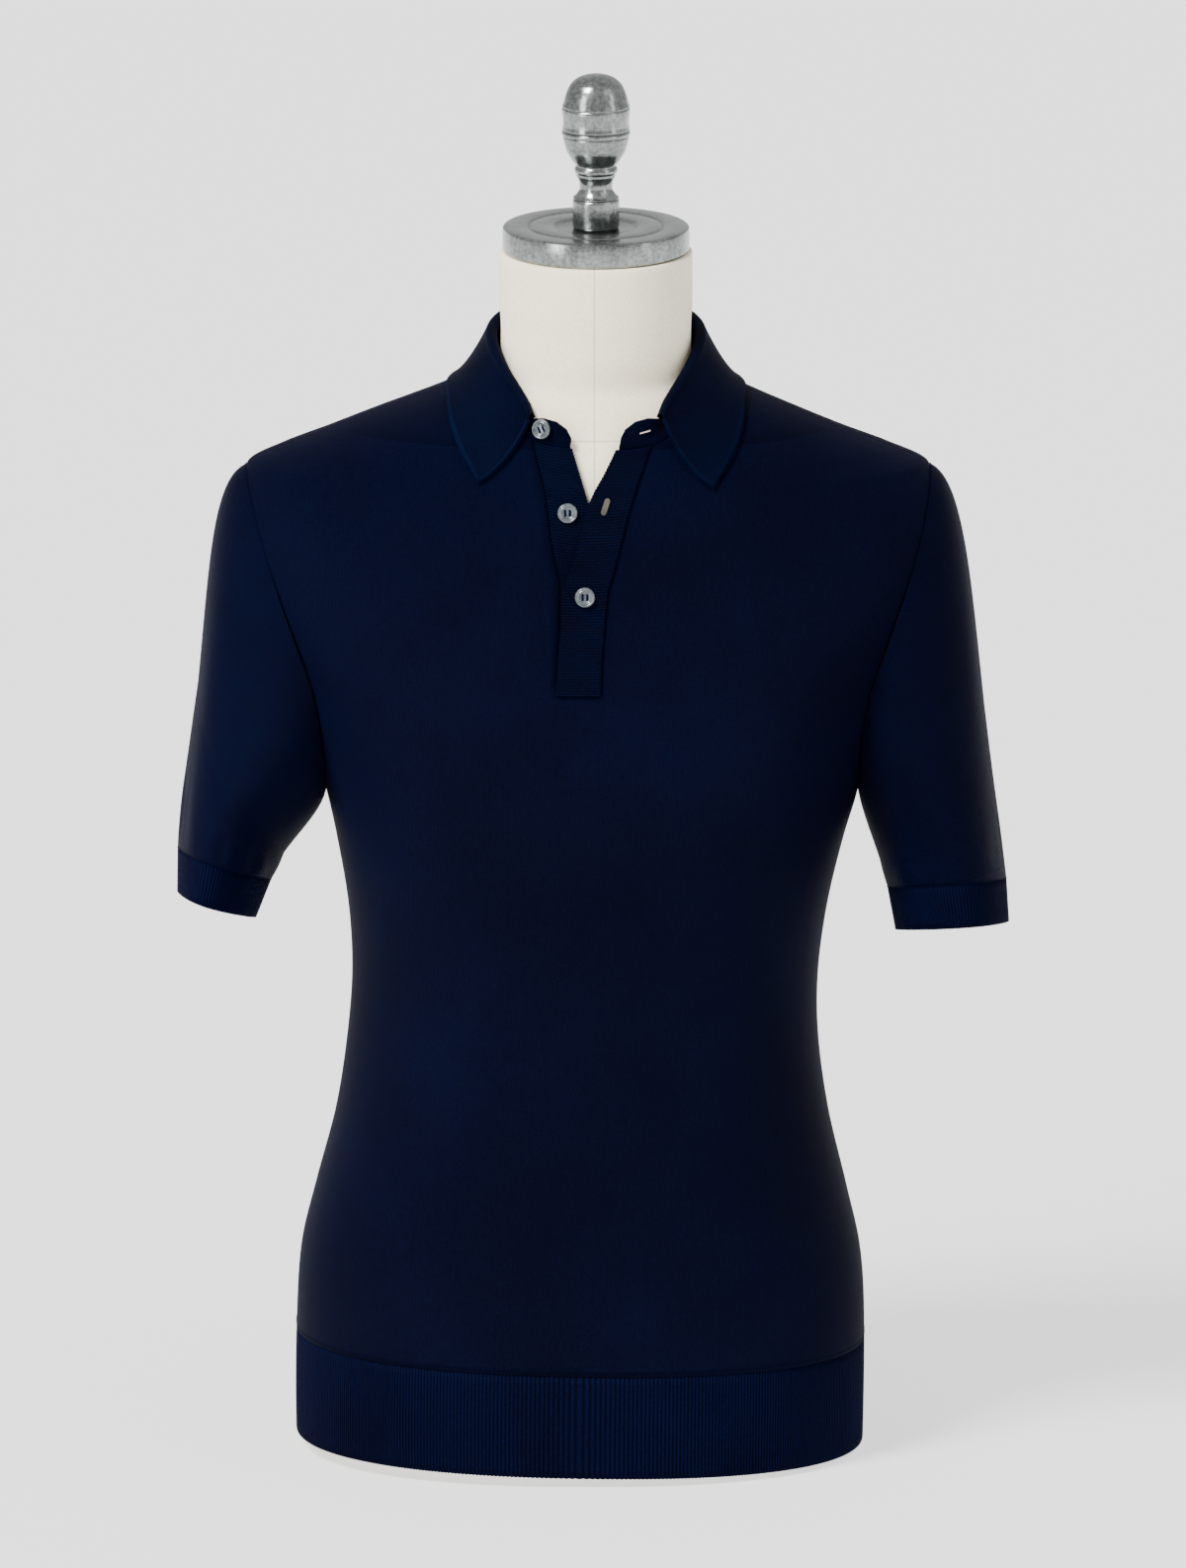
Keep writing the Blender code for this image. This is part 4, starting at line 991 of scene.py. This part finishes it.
def onBand(stations, angle, height):  # point on the band, the way along it, and which way it faces
    row = min(stations, key=lambda station: abs(station[0] - angle))
    k = stations.index(row)
    along = bandPoint(*stations[k + 1], height) - bandPoint(*stations[k - 1], height)
    up = bandPoint(*row, 1.0) - bandPoint(*row, 0.0)
    normal = along.cross(up).normalized()
    here = bandPoint(*row, height)
    if normal.dot(here) < 0.0:
        normal.negate()
    return here, along, normal


def makeBand():
    stations = bandRows(collarLook["steps"])
    grid = []
    for j in range(collarLook["bandRows"] + 1):
        height = j / collarLook["bandRows"]
        grid.append(list(reversed([bandPoint(*row, height) for row in stations])))
    tuck = []
    for point in grid[0]:  # foot of the band goes down behind the neckline, further at the front
        inward = Vector((point.x, point.y, 0.0)).normalized()
        front = max(0.0, min(1.0, (-inward.y - collarLook["frontFrom"]) / collarLook["frontOver"]))
        down = blend(collarLook["tuckDown"], collarLook["tuckFront"], front)
        tuck.append(point - inward * collarLook["tuckIn"] - Vector((0.0, 0.0, down)))
    band = makePlain(clothSheet("collarBand", [tuck] + grid, collarKnit))
    spot, along, normal = onBand(stations, collarLook["holeAngle"], 0.5)
    slot = cutSlot("bandButtonhole", band, spot, along, normal, collarLook["holeLength"], collarLook["holeWidth"])
    return band, slot


placketLook = {
    "top": 674.0, "bottom": 520.5, "width": 28.0, "coursePitch": 1.8, "courseHeight": 0.45, "perCourse": 6,
    "columns": 26, "wall": 1.5, "layer": 1.8, "serration": 0.45, "underTuck": 3.0, "underDepth": 1.75,
    "lowerEdge": [(641, -5.4), (651, -8.2), (667, -13.3), (677, -16.3)],
    "hole": (6.0, 637.0), "holeLength": 11.5, "holeWidth": 3.6,
}


def necklineHeight(x):
    shift, width, _ = neckReach(-1)
    power = torso["neckPower"]
    y = -torso["neckFront"] * (1.0 - (abs(x - shift) / width) ** power) ** (1.0 / power)
    return surfaceHeight(x, y)


def underLeft(z):
    return smoothValue(panels["slit"], 1, z) + 0.6


def underRight(z):
    if z > placketLook["lowerEdge"][0][0]:
        return smoothValue(placketLook["lowerEdge"], 1, z)
    return min(underLeft(z) + placketLook["width"], slitEdges(z)[1] - 0.3)


def overLeft(z):
    return smoothValue(panels["slit"], 3, z)


def overRight(z):
    return smoothValue(panels["slit"], 2, z)


def onFront(x, z, out):  # point off the front, and which way it faces
    u = uAt(x, z, -1)
    normal = torsoNormal(z, u, -1)
    return torsoPoint(z, u, -1) + normal * out, normal


def makePlacket(name, leftEdge, rightEdge, bottom, out, tuck=0.0):  # tuck is how far it goes under the front
    look = placketLook
    courses = round((look["top"] - bottom) / look["coursePitch"])
    rows = courses * look["perCourse"]
    tops = [necklineHeight(blend(leftEdge(look["top"]), rightEdge(look["top"]), i / look["columns"])) - 0.3
            for i in range(look["columns"] + 1)]
    grid, run = [], []
    for j in range(rows + 1):
        row = []
        tooth = look["serration"] * abs(math.sin(math.pi * j / look["perCourse"]))
        for i in range(look["columns"] + 1):
            share = i / look["columns"]
            level = blend(bottom, look["top"], j / rows)
            x = blend(leftEdge(level) - tooth - tuck, rightEdge(level) + tooth, share)
            sunk = look["underDepth"] * max(0.0, min(1.0, 12.0 * tuck / look["width"] - 8.0 * share))
            row.append(onFront(x, blend(bottom, tops[i], j / rows), out - sunk)[0])
            run.append(look["coursePitch"] * courses * j / rows)
        grid.append(row)
    thing = clothSheet(name, grid, placketKnit, wall=0.0)
    return addRibs(thing, run, look["coursePitch"], look["courseHeight"], placketKnit, look["wall"])


collarLeaf, collarEdge = makeCollar()
collarBand, bandSlot = makeBand()
placketUnder = makePlacket("placketUnder", underLeft, underRight, panels["slitBottom"] + 0.3, 0.0,
                           placketLook["underTuck"])
placketOver = makePlacket("placketOver", overLeft, overRight, placketLook["bottom"], placketLook["layer"])
holeZ = placketLook["hole"][1]
holeSpot, holeNormal = onFront(*placketLook["hole"], placketLook["layer"])
lean = Vector((overRight(holeZ + 8) - overRight(holeZ - 8) + overLeft(holeZ + 8) - overLeft(holeZ - 8), 0.0, 32.0))
placketSlot = cutSlot("placketButtonhole", placketOver, holeSpot, lean, holeNormal,
                      placketLook["holeLength"], placketLook["holeWidth"])
print("collar and plackets made")


# buttons

buttonLook = {"radius": 6.35, "height": 2.6, "holeRadius": 0.8, "spacing": 1.5, "steps": 72, "threadRadius": 0.45,
              "threadLevel": 0.62, "threadPast": 0.5, "threadApart": 0.32, "gap": 0.3,
              "topAngle": -25.0, "topOut": 0.2, "middle": (-18.0, 633.0), "low": (-7.0, 582.0),
              "outline": [(0.0, 0.50), (0.20, 0.505), (0.42, 0.52), (0.50, 0.56), (0.56, 0.70), (0.61, 0.86),
                          (0.655, 0.90), (0.69, 0.83), (0.73, 0.79), (0.78, 0.88), (0.83, 0.97), (0.88, 1.0),
                          (0.94, 0.93), (0.985, 0.74), (1.0, 0.52), (0.985, 0.32), (0.93, 0.16), (0.84, 0.08),
                          (0.6, 0.02), (0.0, 0.0)]}


def turned(name, profile, steps, material, sharp=40.0):  # profile runs down the outer side, in mm
    points = [Vector((radius, 0.0, height)) for radius, height in profile]
    mesh = bpy.data.meshes.new(name)
    mesh.from_pydata([p * mm for p in points], [(i, i + 1) for i in range(len(points) - 1)], [])
    mesh.materials.append(material)
    thing = showThing(name, mesh)
    screw = thing.modifiers.new("turn", "SCREW")
    screw.axis, screw.angle = "Z", 2.0 * math.pi
    screw.steps = screw.render_steps = steps
    screw.use_merge_vertices, screw.merge_threshold = True, 0.00001
    screw.use_smooth_shade = True
    makePlain(thing)
    thing.data.set_sharp_from_angle(angle=math.radians(sharp))
    return thing


def placeMesh(thing, foot, normal):
    turn = Vector((0, 0, 1)).rotation_difference(normal).to_matrix().to_4x4()
    thing.data.transform(Matrix.Translation(foot * mm) @ turn)
    return thing


def rod(name, start, end, radius, material, sides=10):  # round rod with round ends
    along = (end - start).normalized()
    side = along.orthogonal().normalized()
    other = along.cross(side)
    long, steps = (end - start).length, 8
    points, faces = [], []
    for k in range(steps + 1):
        share = k / steps
        rise = math.sin(math.pi * share)
        centre = start + along * (long * share)
        for i in range(sides):
            angle = 2 * math.pi * i / sides
            points.append(centre + (side * math.cos(angle) + other * math.sin(angle)) * radius * max(0.35, rise ** 0.4))
    for k in range(steps):
        for i in range(sides):
            n = (i + 1) % sides
            faces.append((k * sides + i, k * sides + n, (k + 1) * sides + n, (k + 1) * sides + i))
    faces += [tuple(reversed(range(sides))), tuple(steps * sides + i for i in range(sides))]
    return makeObject(name, points, faces, material)


def makeButton(name, foot, normal):
    look = buttonLook
    r, h, gap = look["radius"], look["height"], look["spacing"]
    button = turned(name, [(a * r, b * h) for a, b in look["outline"]], look["steps"], pearl)
    drill = bmesh.new()
    for a in (-1, 1):
        for b in (-1, 1):
            bmesh.ops.create_cone(drill, cap_ends=True, segments=20, radius1=look["holeRadius"] * mm,
                                  radius2=look["holeRadius"] * mm, depth=4.0 * h * mm,
                                  matrix=Matrix.Translation(Vector((a * gap, b * gap, 0.3 * h)) * mm))
    mesh = bpy.data.meshes.new(name + "Drill")
    drill.to_mesh(mesh)
    drill.free()
    cutAway(button, showThing(name + "Drill", mesh))
    foot = foot + normal * look["gap"]
    placeMesh(button, foot, normal)
    threads, level, reach = [], look["threadLevel"] * h - 0.2, gap + look["threadPast"]
    for side, label in ((-1, "A"), (1, "B")):
        for shift, number in ((-look["threadApart"], "1"), (look["threadApart"], "2")):
            x = side * gap + shift
            thread = rod(name + "Thread" + label + number, Vector((x, -reach, level)), Vector((x, reach, level)),
                         look["threadRadius"], edgeYarn)
            threads.append(placeMesh(thread, foot, normal))
    return button, threads


bandSpot, _, bandNormal = onBand(bandRows(2), buttonLook["topAngle"], 0.5)
buttons = [makeButton("buttonTop", bandSpot + bandNormal * buttonLook["topOut"], bandNormal),
           makeButton("buttonMiddle", *onFront(*buttonLook["middle"], 0.0)),
           makeButton("buttonLow", *onFront(*buttonLook["low"], placketLook["layer"]))]
print("buttons made")


# dress form, neck cap and knob

formLook = {"inset": 4.2, "neckInset": 3.5, "drop": 1.6, "stump": 4.0, "stumpEdge": 12.0, "base": 46.0,
            "neckTop": 783.7, "halfColumns": 90, "stumpBelow": 20.0, "stumpAbove": 8.0, "neckRise": 44.0,
            "neckHollow": 12.0, "footRows": 12, "hemRows": 8, "neckRows": 26, "sharp": 50.0}


def formRows():  # height and inset of each ring, from the rounded foot to the top of the neck
    look, base, top = formLook, formLook["base"], formLook["neckTop"]
    foot, under, neck = look["footRows"], look["hemRows"], look["neckRows"]
    rows = []
    for k in range(foot + 1):
        turn = quarterTurn * k / foot
        rows.append((base * (1.0 - math.cos(turn)), base * (1.0 - math.sin(turn))))
    rows += [(blend(base + 2.0, hemLook["top"], k / under), 0.0) for k in range(under)]
    rows += [(z - look["drop"], 0.0) for z in panelHeights()[1:]]
    rows += [(blend(torso["neckPoint"] + 1.0, top - 1.0, (k / neck) ** 1.2), 0.0) for k in range(neck + 1)]
    return rows + [(top - 0.3, 0.3), (top, 1.0)]


def makeForm():
    look, half = formLook, formLook["halfColumns"]
    grid = []
    for z, inset in formRows():
        rise = max(0.0, min(1.0, (z - torso["neckPoint"]) / look["neckRise"]))
        hollow = look["neckInset"] * bump(z - torso["neckPoint"], look["neckHollow"])
        depth = inset + look["inset"] * (1.0 - rise) + hollow
        source = z + look["drop"] * (1.0 - rise)
        shift = smoothValue(torso["rows"], 1, source)
        row = []
        for face, start, end in ((-1, -1.0, 1.0), (1, 1.0, -1.0)):
            for k in range(half):
                point = torsoPoint(source, blend(start, end, k / half), face)
                flat = Vector((point.x - shift, point.y, 0.0))
                flat *= 1.0 - depth / max(1.0, flat.length)
                if torso["armpit"] - look["stumpBelow"] < source < torso["shoulder"] + look["stumpAbove"]:
                    knee = smoothValue(torso["armhole"], 1, source) + look["stump"] - look["stumpEdge"]
                    if abs(flat.x) > knee:
                        over = look["stumpEdge"] * math.tanh((abs(flat.x) - knee) / look["stumpEdge"])
                        flat.x = math.copysign(knee + over, flat.x)
                row.append(Vector((shift + flat.x, flat.y, z)))
        grid.append(row)
    form = clothSheet("dressForm", grid, canvas, closed=True, wall=0.0)
    whole = bmesh.new()
    whole.from_mesh(form.data)
    bmesh.ops.holes_fill(whole, edges=[e for e in whole.edges if e.is_boundary])
    bmesh.ops.recalc_face_normals(whole, faces=whole.faces)
    whole.to_mesh(form.data)
    whole.free()
    form.data.set_sharp_from_angle(angle=math.radians(look["sharp"]))
    return form


metalLook = {
    "cap": [(0.0, 798.4), (25.6, 798.4), (26.2, 798.6), (27.2, 799.8), (27.9, 800.0), (41.2, 800.0), (41.8, 799.8),
            (42.4, 799.0), (43.0, 798.8), (43.6, 799.0), (44.2, 799.8), (44.8, 800.0), (56.8, 800.0), (58.2, 799.7),
            (59.2, 799.0), (59.5, 797.9), (59.5, 786.0), (59.2, 784.9), (58.4, 784.0), (0.0, 784.0)],
    "knobBase": 798.7, "knobSmooth": 42, "knobParts": 4, "capSteps": 160, "knobSteps": 128, "sharp": 35.0,
    "knob": [(0.0, 99.2), (3.8, 99.1), (7.5, 98.4), (11.6, 96.8), (15.2, 94.0), (17.4, 91.0), (18.8, 88.0),
             (20.0, 84.6), (21.0, 81.0), (21.6, 79.0), (21.2, 78.2), (21.7, 77.4), (21.8, 75.4), (21.4, 73.0),
             (21.1, 70.0), (21.2, 66.5), (21.6, 64.2), (20.8, 63.3), (21.7, 62.4), (21.7, 60.6), (20.9, 59.8),
             (21.1, 58.6), (20.4, 55.0), (18.9, 50.0), (17.2, 46.8), (15.2, 43.6), (13.6, 41.6), (12.7, 40.4),
             (13.4, 39.2), (13.8, 37.6), (13.4, 36.0), (12.7, 35.2), (12.5, 33.6), (11.6, 31.8), (10.7, 29.4),
             (10.4, 27.0), (10.8, 24.6), (12.2, 22.2), (13.4, 20.8), (14.6, 19.8), (14.2, 18.8), (14.8, 17.8),
             (14.9, 16.0), (14.9, 1.8), (14.6, 0.6), (13.8, 0.0), (0.0, 0.0)],
}


def splineProfile(profile, parts):  # smooth curve through the profile's points
    out = []
    for i in range(len(profile) - 1):
        p0, p1 = profile[max(0, i - 1)], profile[i]
        p2, p3 = profile[i + 1], profile[min(len(profile) - 1, i + 2)]
        for k in range(parts):
            t = k / parts
            out.append(tuple(0.5 * (2 * b + (c - a) * t + (2 * a - 5 * b + 4 * c - d) * t * t
                                    + (3 * b - a - 3 * c + d) * t ** 3)
                             for a, b, c, d in zip(p0, p1, p2, p3)))
    return out + [profile[-1]]


form = makeForm()
neckCap = turned("neckCap", metalLook["cap"], metalLook["capSteps"], pewter, metalLook["sharp"])
smooth = metalLook["knobSmooth"]  # the profile is smooth to this point and sharp below it
knobLine = splineProfile(metalLook["knob"][:smooth + 1], metalLook["knobParts"])[:-1] + metalLook["knob"][smooth:]
knob = turned("knob", [(max(0.0, r), metalLook["knobBase"] + z) for r, z in knobLine], metalLook["knobSteps"],
              pewter, metalLook["sharp"])
print("form, cap and knob made")


# seams and stitches

seamLook = {  # pitch, length and thickness of the stitches
    "armhole": (2.1, 1.9, 0.75), "armholeLean": 0.5, "armholeOut": 0.35, "armholeSteps": 160,
    "cuff": (2.1, 1.9, 0.7), "side": (2.1, 2.1, 0.8), "sideOut": -0.35, "sideSteps": 150,
    "hem": (2.1, 1.7, 0.5), "hemOut": 0.1, "hemRise": 2.2, "hemEvery": 12,
}


def liftLine(points, out):  # moves a line away from the upright axis
    return [p + Vector((p.x, p.y, 0.0)).normalized() * out for p in points]


def armholeSeam(name, side):
    steps = seamLook["armholeSteps"]
    out = Vector((side * seamLook["armholeOut"], 0, 0))
    return stitchLine("armholeSeam" + name, [armholePoint(side, k / steps) + out for k in range(steps + 1)],
                      jersey, *seamLook["armhole"], seamLook["armholeLean"])


def cuffSeam(name, ring):
    return stitchLine("cuffSeam" + name, ring, jersey, *seamLook["cuff"], closed=True)


def sideSeam(name, side):  # in the gap between front and back, hem to armpit
    line = []
    for k in range(seamLook["sideSteps"] + 1):
        z = blend(hemLook["bottom"] + 1.0, torso["armpit"], k / seamLook["sideSteps"])
        ends = [clothPoint(z, side * sideLimit(z, face), face, panels[folds]) for face, folds in
                ((-1, "frontFolds"), (1, "backFolds"))]
        line.append((ends[0] + ends[1]) * 0.5)
    return stitchLine("sideSeam" + name, liftLine(line, seamLook["sideOut"]), jersey, *seamLook["side"])


def hemSeam(name, grid):
    rise = Vector((0, 0, seamLook["hemRise"]))
    line = liftLine([p + rise for p in grid[-1][::seamLook["hemEvery"]]], seamLook["hemOut"])
    return stitchLine("hemSeam" + name, line, jersey, *seamLook["hem"])


armholeSeamLeft, armholeSeamRight = armholeSeam("Left", -1.0), armholeSeam("Right", 1.0)
cuffSeamLeft, cuffSeamRight = cuffSeam("Left", sleeveLeftGrid[-1]), cuffSeam("Right", sleeveRightGrid[-1])
sideSeamLeft, sideSeamRight = sideSeam("Left", -1.0), sideSeam("Right", 1.0)
hemSeamFront, hemSeamBack = hemSeam("Front", hemFrontGrid), hemSeam("Back", hemBackGrid)
seams = [sideSeamLeft, sideSeamRight, hemSeamFront, hemSeamBack, armholeSeamLeft, armholeSeamRight, cuffSeamLeft,
         cuffSeamRight]
print("stitches made")


# floor, light and camera

viewLook = {"floor": 20.0, "floorColor": (0.42, 0.42, 0.42), "floorGlow": 1.22, "elevation": 13.8,
            "distance": 12.0, "lens": 430.4, "target": (-0.0019, 0.0, 0.4344), "world": 0.85, "panelAim": 0.5}
sunLooks = {"keyLight": (6.4, (-50.0, 52.0), 18.0), "fillLight": (0.3, (60.0, 35.0), 40.0)}  # power, turn, softness
panelLooks = {"leftPanel": ((-1.9, -1.7, 1.3), (0.7, 1.8), 36.0), "rightPanel": ((2.0, -1.0, 1.2), (0.25, 1.6), 5.0)}


def makeFloor():
    far = viewLook["floor"] / mm
    finish, _, _ = startMaterial("paleFloor", {
        "Roughness": 0.9, "Base Color": (*viewLook["floorColor"], 1), "Specular IOR Level": 0.0,
        "Emission Color": (1, 1, 1, 1), "Emission Strength": viewLook["floorGlow"]})
    corners = [Vector((x * far, y * far, 0)) for x, y in ((-1, -1), (1, -1), (1, 1), (-1, 1))]
    makeObject("studioFloor", corners, [(0, 1, 2, 3)], finish)


def aimThing(thing, backwards):  # backwards points away from what it looks at
    thing.rotation_mode = "QUATERNION"
    thing.rotation_quaternion = backwards.to_track_quat("Z", "Y")


def makeSun(name, power, turn, soft):  # turn is azimuth from the front and height, in degrees
    light = bpy.data.lights.new(name, "SUN")
    light.energy, light.angle = power, math.radians(soft)
    azimuth, height = map(math.radians, turn)
    aimThing(showThing(name, light), Vector((math.sin(azimuth) * math.cos(height),
                                             -math.cos(azimuth) * math.cos(height), math.sin(height))))


def makePanel(name, place, size, power):  # tall soft box turned to the object
    light = bpy.data.lights.new(name, "AREA")
    light.shape, light.size, light.size_y, light.energy = "RECTANGLE", *size, power
    thing = showThing(name, light)
    thing.location = place
    aimThing(thing, Vector(place) - Vector((0.0, 0.0, viewLook["panelAim"])))


makeFloor()
for name, look in panelLooks.items():
    makePanel(name, *look)
for name, look in sunLooks.items():
    makeSun(name, *look)
world = bpy.data.worlds.new("studio")
bpy.context.scene.world = world
world.use_nodes = True
world.node_tree.nodes["Background"].inputs[0].default_value = (1, 1, 1, 1)
world.node_tree.nodes["Background"].inputs[1].default_value = viewLook["world"]

camera = showThing("camera", bpy.data.cameras.new("camera"))
rising = math.radians(viewLook["elevation"])
backwards = Vector((0.0, -math.cos(rising), math.sin(rising)))
camera.location = Vector(viewLook["target"]) + backwards * viewLook["distance"]
aimThing(camera, backwards)
camera.data.lens = viewLook["lens"]
camera.data.sensor_width = 36.0
camera.data.clip_end = 100.0
bpy.context.scene.camera = camera


# pieces told to the frame

places = [
    (front, "front", "jersey"), (back, "back", "jersey"), (hemFront, "hem_front", "rib_knit"),
    (hemBack, "hem_back", "rib_knit"), (sleeveLeft, "sleeve_left", "jersey"),
    (sleeveRight, "sleeve_right", "jersey"), (cuffLeft, "cuff_left", "rib_knit"),
    (cuffRight, "cuff_right", "rib_knit"), (collarLeaf, "collar", "collar_knit"),
    (collarBand, "collar_band", "collar_knit"), (placketUnder, "placket_under", "collar_knit"),
    (placketOver, "placket_over", "collar_knit"), (form, "form_body", "canvas"),
    (neckCap, "neck_cap", "pewter"), (knob, "finial", "pewter"),
]
for number, (button, threads) in enumerate(buttons):
    places.append((button, f"button_{number + 1}", "pearl_button"))
for thing, node, slotName in places:
    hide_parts(node)
    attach(thing, "root")
extras = [(piece, "jersey") for piece in seams]
extras += [(piece, "collar_knit") for piece in (collarEdge, bandSlot, placketSlot)]
for button, threads in buttons:
    extras += [(thread, "collar_knit") for thread in threads]
for thing, slotName in extras:
    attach(thing, "root")

print("scene ready")
